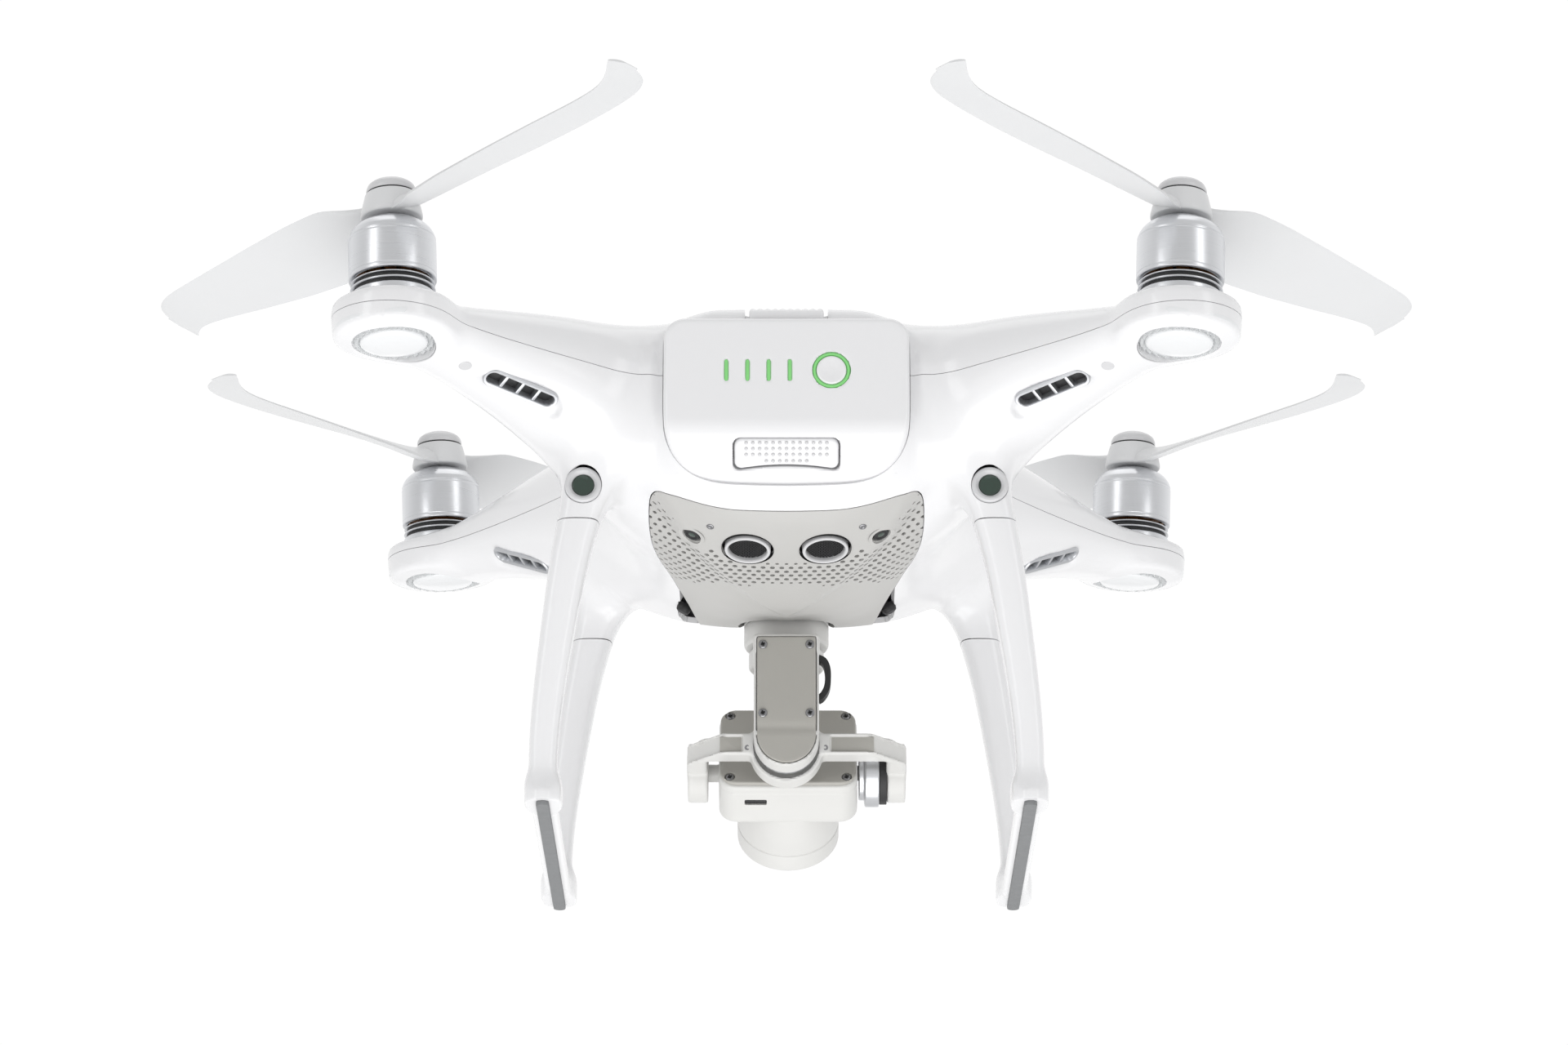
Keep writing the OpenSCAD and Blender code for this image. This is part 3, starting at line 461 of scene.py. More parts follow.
# Leg centreline and section against height above the ground
LZ = [-2, 0, 6.8, 17, 27.6, 44.3, 63.3, 80.2, 90.8, 104.6, 116, 128, 140]
leg_x = smooth_table(LZ, [76.9, 77, 77.4, 77.6, 77, 75.2, 72.6, 70.2, 67.8, 64.8, 61, 55, 48], 14)
leg_y = smooth_table(LZ, [62, 62, 62.3, 62.8, 63.4, 64.3, 65.2, 66, 66.4, 67, 66.5, 64, 60], 14)
leg_wx = smooth_table(LZ, [4.2, 4.3, 4.4, 4.5, 4.7, 5.1, 5.6, 6.1, 6.6, 7.4, 9, 12, 15], 14)
leg_wy = smooth_table(LZ, [5.4, 5.4, 5.3, 5.3, 5.4, 5.8, 6.3, 7, 7.4, 7.9, 9.5, 12, 15], 14)


def leg_field(X, Y, Z):
    ax, ay = np.abs(X), np.abs(Y)
    u = (ax - leg_x(Z))/leg_wx(Z)
    v = (ay - leg_y(Z))/leg_wy(Z)
    m = (np.abs(u)**3 + np.abs(v)**3)**(1/3)
    d = (m - 1)*np.minimum(leg_wx(Z), leg_wy(Z))
    d = np.maximum(d, Z - 132)
    d = np.maximum(d, 3.5 - Z)
    # skid bar
    wx = np.interp(ay, [0, 46, 60, 68, 71], [4.1, 4.1, 4.3, 3.6, 1.5])
    top = np.interp(ay, [0, 46, 58, 66, 71], [6.7, 7.4, 9.6, 8.6, 4.5])
    zc, hz = (top + 1.6)/2, (top - 1.6)/2
    u, v = (ax - 77.2)/wx, (Z - zc)/hz
    m = (np.abs(u)**3.2 + np.abs(v)**3.2)**(1/3.2)
    bar = np.maximum((m - 1)*np.minimum(wx, hz), ay - 70.5)
    return smin(d, bar, 7)


def rear_face(X, Y, Z):
    """Rear end of the body round the battery, positive behind it."""
    y0 = -84.6 - 1.3*np.maximum(np.abs(X) - 41.5, 0)
    z = Z - ZC
    up = y0 - Y
    low = -(Y - y0)*math.sin(math.radians(52)) - (z + 5)*math.cos(math.radians(52))
    return smax(up, low, 4)


def underside(field, X, Y, top):
    """Height of the underside over plan points, looked for below top."""
    lo, hi = np.full(X.shape, 60.0), np.full(X.shape, top)
    for _ in range(26):
        mid = (lo + hi)/2
        out = field(X, Y, mid) > 0
        lo, hi = np.where(out, mid, lo), np.where(out, hi, mid)
    return (lo + hi)/2


def slopes(field, x, y, top):
    """Height of the underside at a plan point, and its slopes along X and Y."""
    def z(u, v):
        return float(underside(field, np.array([float(u)]), np.array([float(v)]), top)[0])
    return z(x, y), (z(x + 1, y) - z(x - 1, y))/2, (z(x, y + 1) - z(x, y - 1))/2


def under_frame(field, x, y, along=(1, 0)):
    """Z out of the underside at a plan point, X as near along as it can be."""
    z, gx, gy = slopes(field, x, y, ZC + 18)
    n = Vector((gx, gy, -1)).normalized()
    e = Vector((along[0], along[1], gx*along[0] + gy*along[1])).normalized()
    m = Matrix((e, n.cross(e), n)).transposed().to_4x4()
    m.translation = Vector((x, y, z))
    return m


# Vents face the tail: outer end and inner end in plan, for the rear and the front arms
VENT_LINE = {-1: ((94.6, -106.0), (74.6, -92.4)), 1: ((101.0, 80.5), (84.0, 66.5))}
VENT_AT = {}
for sx, sy in ARMS:
    (xa, ya), (xb, yb) = VENT_LINE[sy]
    long = math.hypot(xa - xb, ya - yb)
    VENT_AT[(sx, sy)] = under_frame(hull_field, sx*(xa + xb)/2, (ya + yb)/2,
                                    (sx*(xa - xb)/long, (ya - yb)/long))


def in_frame(m, X, Y, Z):
    o = m.translation
    d = (X - o.x, Y - o.y, Z - o.z)
    return tuple(m[0][k]*d[0] + m[1][k]*d[1] + m[2][k]*d[2] for k in range(3))


def scoops(X, Y, Z, h):
    """Shallow ramps below the vents."""
    for (sx, sy), m in VENT_AT.items():
        near = (X*sx > 60) & (Y*sy > 50)
        if not near.any():
            continue
        u, v, w = in_frame(m, X, Y, Z)
        side = -1 if m[1][1] > 0 else 1
        a = (u + 1.5)/15.5
        b = (-v*side - 3.4)/(6.6 - 1.6*a)
        c = (w + 0.4)/2.6
        e = (np.sqrt(a*a + b*b + c*c + 1e-6) - 1)*2.4
        h = np.where(near, smax(h, -e, 1.0), h)
    return h


def air_field(X, Y, Z):
    h = smax(hull_field(X, Y, Z), rear_face(X, Y, Z), 5)
    h = scoops(X, Y, Z, h)
    h = smin(h, mount_field(X, Y, Z), 5)
    return smin(h, leg_field(X, Y, Z), 15)


# --- airframe pieces
def slot_distance(u, v, hu, hv):
    """Rounded slot in the plane, negative inside."""
    return np.hypot(np.maximum(np.abs(u) - (hu - hv), 0), v) - hv


def vent_hole(P, sx, sy):
    u, v, w = in_frame(VENT_AT[(sx, sy)], *P.T)
    return np.where((np.abs(w) < 9) & (np.abs(u) < 30), -slot_distance(u, v, 13.2, 3.1), -1)


def body_plan(V, g=0.0):
    """Plan outline of the belly cover, negative inside."""
    return polygon_distance(belly_poly, V[:, 0], V[:, 1]) - g


belly_poly = chaikin([(0, -71.5), (37, -71.5), (43.5, -69), (45, -52), (43.5, -32), (38, -10), (32, 13),
                      (29, 33), (26.5, 50), (21, 56.5), (0, 57), (-21, 56.5), (-26.5, 50), (-29, 33),
                      (-32, 13), (-38, -10), (-43.5, -32), (-45, -52), (-43.5, -69), (-37, -71.5)], 3)


def seam_of(V):
    return V[:, 2] - ZC - grid_look(Z2, V[:, 0], V[:, 1])


STEP = 1.25
V, F = surface_nets(air_field, (-147, -147, 92.5), (147, 147, 171), STEP)
V = settle(air_field, V)
# the rear end is open where the battery's end cap sits
cap_poly = chaikin([(0, 60), (39.5, 60), (39.5, 20), (39.5, 8), (39, 1), (35.5, -6), (28, -11.5), (16, -13.2),
                    (-40, -13.2), (-40, 60)], 3)


def cap_plan(X, Z):
    """Outline of the end cap in X and Z, negative inside."""
    z = Z - ZC
    ax = np.abs(X)
    top = np.hypot(np.maximum(ax - 32.5, 0), np.maximum(z - 33, 0)) - 7
    return np.where(z > 20, np.maximum(top, ax - 39.5), polygon_distance(cap_poly, ax, z))


V, F = clip(V, F, lambda P: np.where(P[:, 1] < -60, 0.22 - cap_plan(P[:, 0], P[:, 2]), -1.0))
UV_, UF = clip(V, F, lambda P: 0.11 - seam_of(P))
LV, LF = clip(V, F, lambda P: seam_of(P) + 0.11)
# top latch pocket in the upper shell
UV_, UF = clip(UV_, UF, lambda P: -round_rect(P[:, 0], P[:, 1] + 78, 13.4, 9.5, 2))
# bores for the motor bases and the lamps, then vents and obstacle sensors


def arm_bore(r):
    return lambda P: np.where(np.hypot(P[:, 0] - sx*MD, P[:, 1] - sy*MD) < 30,
                              r - np.hypot(*at_motor_local(*P.T, sx, sy)[:2]), -1)


for sx, sy in ARMS:
    UV_, UF = clip(UV_, UF, arm_bore(12.5))
    LV, LF = clip(LV, LF, arm_bore(13.25))
    LV, LF = clip(LV, LF, lambda P: vent_hole(P, sx, sy))
    LV, LF = clip(LV, LF, lambda P: np.where(
        (P[:, 1]*sy > 66) & (P[:, 0]*sx > 50) & (P[:, 2] < ZC + 2),
        6.1 - np.hypot(P[:, 0] - sx*SENSOR[0], P[:, 2] - (ZC + SENSOR[2])), -1))
LV, LF = clip(LV, LF, lambda P: np.where(P[:, 2] < ZC + 4, -body_plan(P, 0.15), -1.0))
LV, LF = clip(LV, LF, lambda P: np.where(np.abs(P[:, 0]) > 50, 94.1 - P[:, 2], -1))
make("shell_top", *thicken(UV_, UF, 1.9), "airframe", "white_shell", ["upper_shell"], 35)
make("shell_bottom", *thicken(LV, LF, 1.9), "airframe", "white_shell", ["lower_shell"], 35)

# landing gear, one side meshed and mirrored
GV, GF = surface_nets(air_field, (55, -75, 0.5), (92, 75, 96), 0.9)
GV = settle(air_field, GV)
GV, GF = clip(GV, GF, lambda P: P[:, 2] - 93.75)
GV, GF = clip(GV, GF, lambda P: 1.62 - P[:, 2])


def cap_loops(V, faces):
    """Closes open rims with one face each."""
    nxt = {}
    edges = set()
    for f in faces:
        for i, a in enumerate(f):
            edges.add((a, f[(i + 1) % len(f)]))
    for a, b in edges:
        if (b, a) not in edges:
            nxt[b] = a
    out = list(faces)
    while nxt:
        a, b = nxt.popitem()
        loop = [a]
        while b != loop[0] and b in nxt:
            loop.append(b)
            b = nxt.pop(b)
        if len(loop) > 2:
            out.append(loop)
    return out


GF = cap_loops(GV, GF)
make("gear_right", GV, GF, "airframe", "gear_white", ["landing_gear_right"], 40)
GL = GV*np.array([-1, 1, 1])
make("gear_left", GL, [f[::-1] for f in GF], "airframe", "gear_white", ["landing_gear_left"], 40)


# --- solid modelling helpers
def rbox(c, h, r):
    """Rounded box centred at c with half sizes h."""
    def f(X, Y, Z):
        q = [np.abs(p - ci) - hi + r for p, ci, hi in zip((X, Y, Z), c, h)]
        out = np.sqrt(sum(np.maximum(i, 0)**2 for i in q))
        return out + np.minimum(np.maximum(np.maximum(q[0], q[1]), q[2]), 0) - r
    return f


def rcyl(c, axis, rad, half, r):
    """Rounded cylinder centred at c along an axis 0, 1 or 2."""
    def f(X, Y, Z):
        p = [X - c[0], Y - c[1], Z - c[2]]
        a = p.pop(axis)
        return corner(np.hypot(*p) - rad + r, np.abs(a) - half + r) - r
    return f


def solid(name, fn, lo, hi, step, body, slot, replaces, sharp, place=None):
    """Meshed surface of a field."""
    V, F = surface_nets(fn, lo, hi, step*(1))
    V = settle(fn, V, 3, 0.02)
    make(name, put(V, place), F.tolist(), body, slot, replaces, sharp)


def put(V, m):
    V = np.asarray(V, float)
    if m is None:
        return V
    R = np.array(m)
    return V @ R[:3, :3].T + R[:3, 3]


def lathe(prof, n=72, m=None):
    """Revolved profile of (r, z) points about local Z; ends on the axis are closed."""
    V, F, rings = [], [], []
    for r, z in prof:
        if r < 1e-6:
            rings.append([len(V)])
            V.append((0, 0, z))
        else:
            rings.append(list(range(len(V), len(V) + n)))
            V += [(r*math.cos(2*math.pi*i/n), r*math.sin(2*math.pi*i/n), z) for i in range(n)]
    for A, B in zip(rings, rings[1:]):
        for i in range(n):
            j = (i + 1) % n
            if len(A) == 1 and len(B) == 1:
                continue
            if len(A) == 1:
                F.append([A[0], B[j], B[i]])
            elif len(B) == 1:
                F.append([A[i], A[j], B[0]])
            else:
                F.append([A[i], A[j], B[j], B[i]])
    return put(V, m), F


def soften(prof, r):
    """Rounds the inner corners of a profile with small arcs."""
    out = [prof[0]]
    for a, b, c in zip(prof, prof[1:], prof[2:]):
        a, b, c = np.array(a, float), np.array(b, float), np.array(c, float)
        la, lc = np.linalg.norm(a - b), np.linalg.norm(c - b)
        d = min(r, la*0.45, lc*0.45)
        if d < 0.02:
            out.append(tuple(b))
            continue
        p, q = b + (a - b)/la*d, b + (c - b)/lc*d
        for t in (0, 0.33, 0.67, 1):
            out.append(tuple((1 - t)**2*p + 2*t*(1 - t)*b + t*t*q))
    out.append(prof[-1])
    return out


def turned(name, prof, body, slot, m, replaces=(), n=72, r=0.25, sharp=40, mat=None):
    """Revolved profile with its corners rounded by r."""
    make(name, *lathe(soften(prof, r), n, m), body, slot, replaces, sharp, mat=mat)


def join_mesh(parts):
    V, F, k = [], [], 0
    for v, f in parts:
        V.append(np.asarray(v, float))
        F += [[i + k for i in p] for p in f]
        k += len(v)
    return np.concatenate(V), F


def rows(n, count):
    """Quads between count + 1 closed rows of n points."""
    return [[k*n + i, k*n + (i + 1) % n, (k + 1)*n + (i + 1) % n, (k + 1)*n + i]
            for k in range(count) for i in range(n)]


def rect_outline(hx, hy, r, n=8):
    pts = []
    for cx, cy, a0 in ((hx - r, hy - r, 0), (r - hx, hy - r, 90), (r - hx, r - hy, 180),
            (hx - r, r - hy, 270)):
        for i in range(n + 1):
            a = math.radians(a0 + 90*i/n)
            pts.append((cx + r*math.cos(a), cy + r*math.sin(a)))
    return np.array(pts)


def inset(p, d):
    e = np.roll(p, -1, 0) - p
    e /= np.maximum(np.linalg.norm(e, axis=1), 1e-9)[:, None]
    nrm = np.stack([-e[:, 1], e[:, 0]], 1)
    m = nrm + np.roll(nrm, 1, 0)
    m /= np.maximum(np.linalg.norm(m, axis=1), 1e-6)[:, None]
    return p + m*d


def slab(outline, z0, z1, b, m=None):
    """Extruded outline (counter-clockwise) with rounded top and bottom edges."""
    V, n = [], len(outline)
    steps = [(z0, b), (z0 + b*0.3, b*0.3), (z0 + b, 0), (z1 - b, 0), (z1 - b*0.3, b*0.3), (z1, b)]
    for z, d in steps:
        for x, y in inset(np.asarray(outline, float), d):
            V.append((x, y, z))
    F = rows(n, len(steps) - 1) + [list(range(n))[::-1], [(len(steps) - 1)*n + i for i in range(n)]]
    return put(V, m), F


def frame_at(o, z, x=None):
    """Matrix with its origin at o, Z along z and X as near x as it can be."""
    z = Vector(z).normalized()
    x = Vector(x if x is not None else ((1, 0, 0) if abs(z.x) < 0.9 else (0, 1, 0)))
    x = (x - z*x.dot(z)).normalized()
    y = z.cross(x)
    m = Matrix((x, y, z)).transposed().to_4x4()
    m.translation = Vector(o)
    return m


def motor_frame(sx, sy):
    m = Matrix.Rotation(sx*LEAN, 4, "Y") @ Matrix.Rotation(sy*LEAN, 4, "X")
    m.translation = Vector((sx*MD, sy*MD, MZ))
    return m


def screw_head(m, r, h):
    """Button head with a cross recess, Z outward from its seat."""
    V, F = lathe(soften([(0, h*0.55), (r*0.3, h*0.55), (r*0.42, h), (r*0.8, h*0.9), (r, h*0.45), (r, -0.6),
            (0, -0.6)][::-1], 0.12), 28)
    return put(V, m), F


# a black cross standing in for the shade inside a screw's cross recess: painted shade
def cross(m, r):
    return join_mesh([slab(rect_outline(r*0.62, r*0.16, r*0.1, 2), 0.3, 0.86, 0.03,
                           m @ Matrix.Rotation(math.radians(a), 4, "Z")) for a in (20, 110)])


def screws(tag, frames, r, h, arm, body, node):
    """Screw heads, and black crosses that paint the shade in their cross recesses."""
    make(tag + "_screw_heads", *join_mesh([screw_head(m, r, h) for m in frames]), body, "screw_steel", [node])
    make(tag + "_screw_recess_shade", *join_mesh([cross(m, arm) for m in frames]), body, "black_trim")


# --- belly cover
HX, HY = 3.05, 3.05*math.sqrt(3)/2


def perforation(V):
    """Distance to the rim of the nearest speaker-style hole, positive inside a hole."""
    j = np.round((V[:, 1] + 40)/HY)
    i = np.round(V[:, 0]/HX - 0.5*(j % 2))
    cx, cy = (i + 0.5*(j % 2))*HX, j*HY - 40
    lo, hi = -46.5 - 0.011*cx*cx, -31 + 0.014*cx*cx
    edge = np.minimum(cy - lo, hi - cy)
    r = np.clip(0.44 + 0.15*edge, 0, 0.86)*np.clip(1.5 - np.abs(cx)/60, 0.6, 1)
    r = np.where(edge < 0, -1, r)
    r = np.where(np.hypot(np.abs(cx) - SONAR[0], cy - SONAR[1]) < 9.8, -1, r)
    r = np.where(np.hypot(np.abs(cx) - EYE[0], cy - EYE[1]) < 6.6, -1, r)
    return r - np.hypot(V[:, 0] - cx, V[:, 1] - cy)


def plan_bore(x, y, r):
    """Positive inside a round hole in plan."""
    return lambda P: r - np.hypot(P[:, 0] - x, P[:, 1] - y)


def belly_holes(V, faces):
    for sx in (-1, 1):
        V, faces = clip(V, faces, plan_bore(sx*SONAR[0], SONAR[1], 8.5))
        V, faces = clip(V, faces, plan_bore(sx*EYE[0], EYE[1], 3.3))
    return clip(V, faces, plan_bore(0, 20, 16.25))


def belly_grid(x0, x1, y0, y1, s):
    """The airframe's underside as a height field over the plan."""
    xs, ys = np.arange(x0, x1 + s, s), np.arange(y0, y1 + s, s)
    X, Y = np.meshgrid(xs, ys, indexing="ij")
    V = np.stack([X, Y, underside(air_field, X, Y, ZC + 6.0)], -1).reshape(-1, 3)
    nx, ny = X.shape
    idx = np.arange(nx*ny).reshape(nx, ny)
    F = np.stack([idx[:-1, :-1], idx[:-1, 1:], idx[1:, 1:], idx[1:, :-1]], -1).reshape(-1, 4)
    return V, F


bs = 0.55
BV, BF = belly_grid(-46, 46, -73, 58.5, bs)
BV, BF = clip(BV, BF, lambda P: body_plan(P, -0.15))
BV, BF = clip(BV, BF, lambda P: -78.3 - P[:, 1])
BV, BF = belly_holes(BV, BF)
BV, BF = clip(BV, BF, perforation)
make("belly", *thicken(BV, BF, 1.4), "airframe", "belly_grey", ["belly_cover"], 40)


def belly_frame(x, y):
    """Z out of the belly at a plan point."""
    z, gx, gy = slopes(air_field, x, y, ZC + 6)
    return frame_at((x, y, z), (gx, gy, -1))


# dark liner behind the perforations
lv, lf = belly_grid(-38, 38, -47, 6, 2.5)
lv, lf = clip(lv, lf, plan_bore(0, 20, 17))
lv, lf = clip(lv, lf, lambda P: body_plan(P, -4))
lv[:, 2] += 2.2
make("belly_liner", *thicken(lv, lf, 0.6), "airframe", "black_trim")

for sx in (-1, 1):
    tag = "r" if sx > 0 else "l"
    m = belly_frame(sx*SONAR[0], SONAR[1])
    # black cup round the sonar ring: painted shadow of the recess wall
    turned("sonar_shade_well_" + tag, [(8.5, 0.1), (8.55, -5), (7.3, -6.2), (0, -6.2)][::-1], "airframe",
           "black_trim", m)
    turned("sonar_ring_" + tag, [(6.25, -3.2), (6.25, 0.1), (6.6, 0.75), (7.2, 0.75), (7.5, 0.3),
           (7.5, -5.6), (6.25, -5.6), (6.25, -3.2)][::-1], "airframe", "sensor_ring", m,
           ["ultrasonic_rings"])
    parts = [lathe(soften([(0, -1.0), (6.2, -1.4), (6.2, -3)], 0.2)[::-1], 48, m)]
    for i in range(-8, 9):
        c = i*0.72
        half = math.sqrt(max(0.0, 5.9**2 - c*c))
        for a in (45, 135):
            q = m @ Matrix.Rotation(math.radians(a), 4, "Z")
            parts.append(slab([(-half, c - 0.13), (half, c - 0.13), (half, c + 0.13), (-half, c + 0.13)],
                              -1.15, -0.62, 0.05, q))
    make("sonar_mesh_" + tag, *join_mesh(parts), "airframe", "black_trim", ["ultrasonic_meshes"], 30)
    m = belly_frame(sx*EYE[0], EYE[1])
    turned("eye_cone_" + tag, [(4.6, -0.6), (3.3, -0.7), (3.0, -2.4), (0, -2.4)][::-1], "airframe",
           "belly_grey", m)
    turned("eye_" + tag, [(0, -1.1), (1.3, -0.9), (1.8, -1.0), (2.0, -0.7), (2.5, -0.7), (2.7, -1.0),
           (2.7, -3.4), (0, -3.4)][::-1], "airframe", "black_trim", m, ["belly_cameras"], 40, 0.1)
    turned("eye_glass_" + tag, [(0, -0.8), (1.0, -0.88), (1.7, -1.1), (1.7, -1.4), (0, -1.4)][::-1],
           "airframe", "dark_glass", m, n=32)
    m = belly_frame(sx*24.6, -63)
    make("belly_screw_" + tag, *screw_head(m, 1.25, 0.35), "airframe", "screw_steel", ["belly_screws"])
    # small feet at the lower flanks of the belly
    m = under_frame(air_field, sx*34.6, 17)
    turned("foot_" + tag, [(0, 1.5), (1.5, 1.45), (2.2, 1.1), (2.5, 0), (2.5, -1.5)][::-1], "airframe",
           "black_trim", m, n=32)

# dark well over the gimbal
turned("gimbal_well", [(16.2, ZC - 24), (16.2, ZC - 13.4), (0, ZC - 13.4)], "airframe", "black_trim",
       GIMBAL)
turned("gimbal_rim", [(16.35, ZC - 23.2), (16.35, ZC - 27.5), (15.2, ZC - 27.9), (15.1, ZC - 27.0),
       (15.4, ZC - 23.2), (16.35, ZC - 23.2)][::-1], "airframe", "black_trim", GIMBAL)

# --- arm ends: motors, lamps, vents
BLADE = [(6, 5, -6, 20, 4.6), (8, 5, -6, 20, 4.4), (14, 8, -9.5, 24, 3.2), (24, 12, -16, 25, 2.4),
         (40, 12, -18, 23, 1.9), (60, 11, -17, 20, 1.6), (80, 9.5, -15, 17, 1.4), (96, 8, -13, 15, 1.2),
         (106, 6.5, -12.5, 14, 1.1), (112, 4, -13.5, 13, 1.0), (117, 0, -16.5, 12, 0.9),
         (120, -6, -19, 11, 0.8), (121.4, -12, -19.8, 10, 0.6)]
br = [b[0] for b in BLADE]
wide = [smooth_table(br, [b[i] for b in BLADE], w) for i, w in ((1, 5), (2, 5), (3, 8), (4, 6))]


def blade_mesh(direction, turn, m):
    rs = np.concatenate([np.linspace(6, 104, 44), np.linspace(106, 119, 12),
                         [119.8, 120.5, 121.0, 121.35]])
    parts = []
    n = 14
    for h in (0, 180):
        q = m @ Matrix.Rotation(math.radians(turn + h), 4, "Z")
        V = []
        for r in rs:
            near = r > 119.5 or r < 8
            le, te, tw, th = ([float(np.interp(r, br, [b[i] for b in BLADE])) for i in (1, 2, 3, 4)] if near
                              else [float(f(r)) for f in wide])
            c, mid, tw = le - te, (le + te)/2, math.radians(tw)
            zb = 31.6 + 4*(r/120)**2
            for i in range(2*n):
                s = i/n if i <= n else (2*n - i)/n
                u = 0.5 - 0.5*math.cos(math.pi*s)
                x = u - 0.5
                hh = th*math.sqrt(max(0, u*(1.02 - u)))*1.6*(1 if i < n else -0.55)
                a, b = -x*c, hh + th*0.25 + 1.1*(0.25 - x*x)
                V.append((r, direction*(mid + a*math.cos(tw) - b*math.sin(tw)*0.3),
                          zb + a*math.sin(tw) + b*math.cos(tw)))
        k = 2*n
        F = rows(k, len(rs) - 1) + [list(range(k))[::-1], [(len(rs) - 1)*k + i for i in range(k)]]
        if direction > 0:
            F = [f[::-1] for f in F]
        parts.append((put(V, q), F))
    return parts


ROTORS = {"rl": (-1, -1, 1, -45), "rr": (1, -1, -1, 45), "fl": (-1, 1, -1, 50), "fr": (1, 1, 1, -50)}
for tag, (sx, sy, direction, turn) in ROTORS.items():
    m = motor_frame(sx, sy)
    body = "rotor_" + tag
    # fixed base with its rings
    turned("motor_base_" + tag, [(3, 0.05), (13.1, 0.05), (13.5, 0.5), (13.5, 3.5), (13.1, 3.9),
           (12.2, 3.95), (12.2, 5.0), (13.2, 5.1), (13.5, 5.3), (13.5, 5.6), (13.2, 5.8), (12.0, 5.85),
           (12.0, 7.05), (13.1, 7.1), (13.35, 7.25), (13.35, 7.45), (13.1, 7.6), (11.8, 7.65), (11.8, 8.1),
           (3, 8.1), (3, 0.05)], "airframe", "motor_metal", m, ["motor_bases"], 96, 0.12, 35)
    for k, (z0, z1, rr) in enumerate([(3.96, 5.04, 12.6), (5.84, 7.08, 12.45)]):
        turned("motor_gap_%s_%d" % (tag, k), [(11, z0), (rr, z0), (rr, z1), (11, z1), (11, z0)], "airframe",
               "black_trim", m, r=0.1)
    # bell with a pressed rim and shoulder
    turned("bell_shell_" + tag, [(12.4, 8.75), (13.7, 8.7), (13.95, 8.95), (13.95, 9.9), (13.8, 10.1),
           (13.95, 10.3), (13.95, 21.9), (13.75, 22.2), (13.75, 22.6), (13.9, 22.9), (13.3, 24.6),
           (12.6, 25.7), (11.6, 26.8), (10.3, 27.8), (8.6, 28.7), (7, 29.25), (5.7, 29.7), (4.7, 29.8),
           (4.5, 30.05), (4.5, 31.0), (0, 31.0)], body, "motor_metal", m, ["bell_" + tag], 96, 0.2, 35)
    turned("bell_inside_" + tag, [(12.35, 8.8), (12.2, 12), (0, 12)][::-1], body, "black_trim", m, n=72)
    # propeller: blades and a turned hub
    parts = blade_mesh(direction, turn, m)
    hub = lathe(soften([(4.6, 30.15), (9.5, 30.15), (9.9, 30.6), (9.9, 31.6), (9.55, 33.3), (8.35, 38.2),
            (7.9, 38.5), (7.2, 38.5), (7.2, 37.6), (0, 37.6)], 0.3), 64, m)
    parts.append(hub)
    make("prop_" + tag, *join_mesh(parts), body, "blade_white", ["propeller_" + tag], 50)
    turned("cap_groove_" + tag, [(7.75, 38.45), (7.75, 39.5), (0, 39.5)], body, "black_trim", m, r=0.05,
           n=64)
    turned("cap_dome_" + tag, [(6.5, 38.9), (7.85, 38.95), (8.0, 39.3), (7.95, 40.2), (7.4, 41.5),
           (6.2, 42.5), (4.4, 43.3), (2.2, 43.8), (0, 43.9)], body, "hub_white", m, ["hub_cap_" + tag], 64,
           0.4, mat="sensor_ring")
    # lamp below: opal dome in a ring of prisms, in a white sleeve
    turned("lamp_" + tag, [(10.7, -9.4), (10.8, -11.9), (10.4, -12.6), (8.6, -13.1), (5, -13.5),
           (0, -13.7)], "airframe", "lamp_lens", m, ["led_lenses"], 96, 0.4, 60, mat="opal_white")
    v, n = [], 72
    for k, (r, z) in enumerate(((12.95, -8.2), (12.95, -11.2), (12.2, -12.2), (11.4, -12.0), (10.75, -11.2))):
        for i in range(n):
            w = (0.0, 0.0, 0.45, 0.5, 0.3)[k]*((i % 3) - 1)
            a = 2*math.pi*(i + (0.3 if k > 2 else 0))/n
            v.append((r*math.cos(a), r*math.sin(a), z + w))
    f = [q[:1] + q[:0:-1] for q in rows(n, 4)]
    make("prisms_" + tag, put(v, m), f, "airframe", "lamp_lens", smooth=False)
    v, f = lathe([(13.08, -7 - 0.5*k) for k in range(26)], 64, m)
    v, f = clip(np.array(v), f, lambda P: air_field(*P.T) + 0.5)
    make("lamp_cup_" + tag, *thicken(v, f, -0.16), "airframe", "white_shell")
    # light guide on the outer side of the mount
    v, f = lathe(soften([(18.85, -9.9), (19.2, -9.6), (19.3, -8.4), (19.2, -7.0), (18.85, -6.6)], 0.4), 96)
    q = m @ Matrix.Rotation(math.atan2(sy, sx), 4, "Z")
    keep = lambda P: np.abs(np.degrees(np.arctan2(P[:, 1], P[:, 0]))) - 62 + 6*((P[:, 2] + 8.3)/1.6)**2
    v, f = clip(np.array(v), f, keep)
    v, f = thicken(v, f, 0.5)
    make("guide_" + tag, put(v, q), f, "airframe", "lamp_lens", sharp=40, mat="opal_white")
    # vent: frame, slats and a dark trough
    vm = VENT_AT[(sx, sy)] @ Matrix.Translation((0, 0, -0.9))
    out, inn = rect_outline(13.6, 3.6, 3.4, 10), rect_outline(12.3, 2.2, 2.1, 10)
    V = []
    for pts, z in ((out, -2.5), (out, 0.9), (inset(out, 0.35), 1.25), (inset(inn, -0.3), 1.2), (inn, 0.8),
            (inn, -2.5)):
        V += [(x, y, z) for x, y in pts]
    parts = [(put(V, vm), rows(len(out), 5))]
    for i in (-1, 0, 1):
        q = vm @ Matrix.Translation((i*6.1, 0, 0))
        parts.append(slab(rect_outline(0.55, 2.4, 0.4, 3), -2.4, 0.75, 0.2, q))
    make("vent_" + tag, *join_mesh(parts), "airframe", "vent_metal", ["arm_vents"], 40)
    make("vent_well_" + tag, *slab(inset(out, 0.3), -3.4, -1.6, 0.2, vm), "airframe", "black_trim")
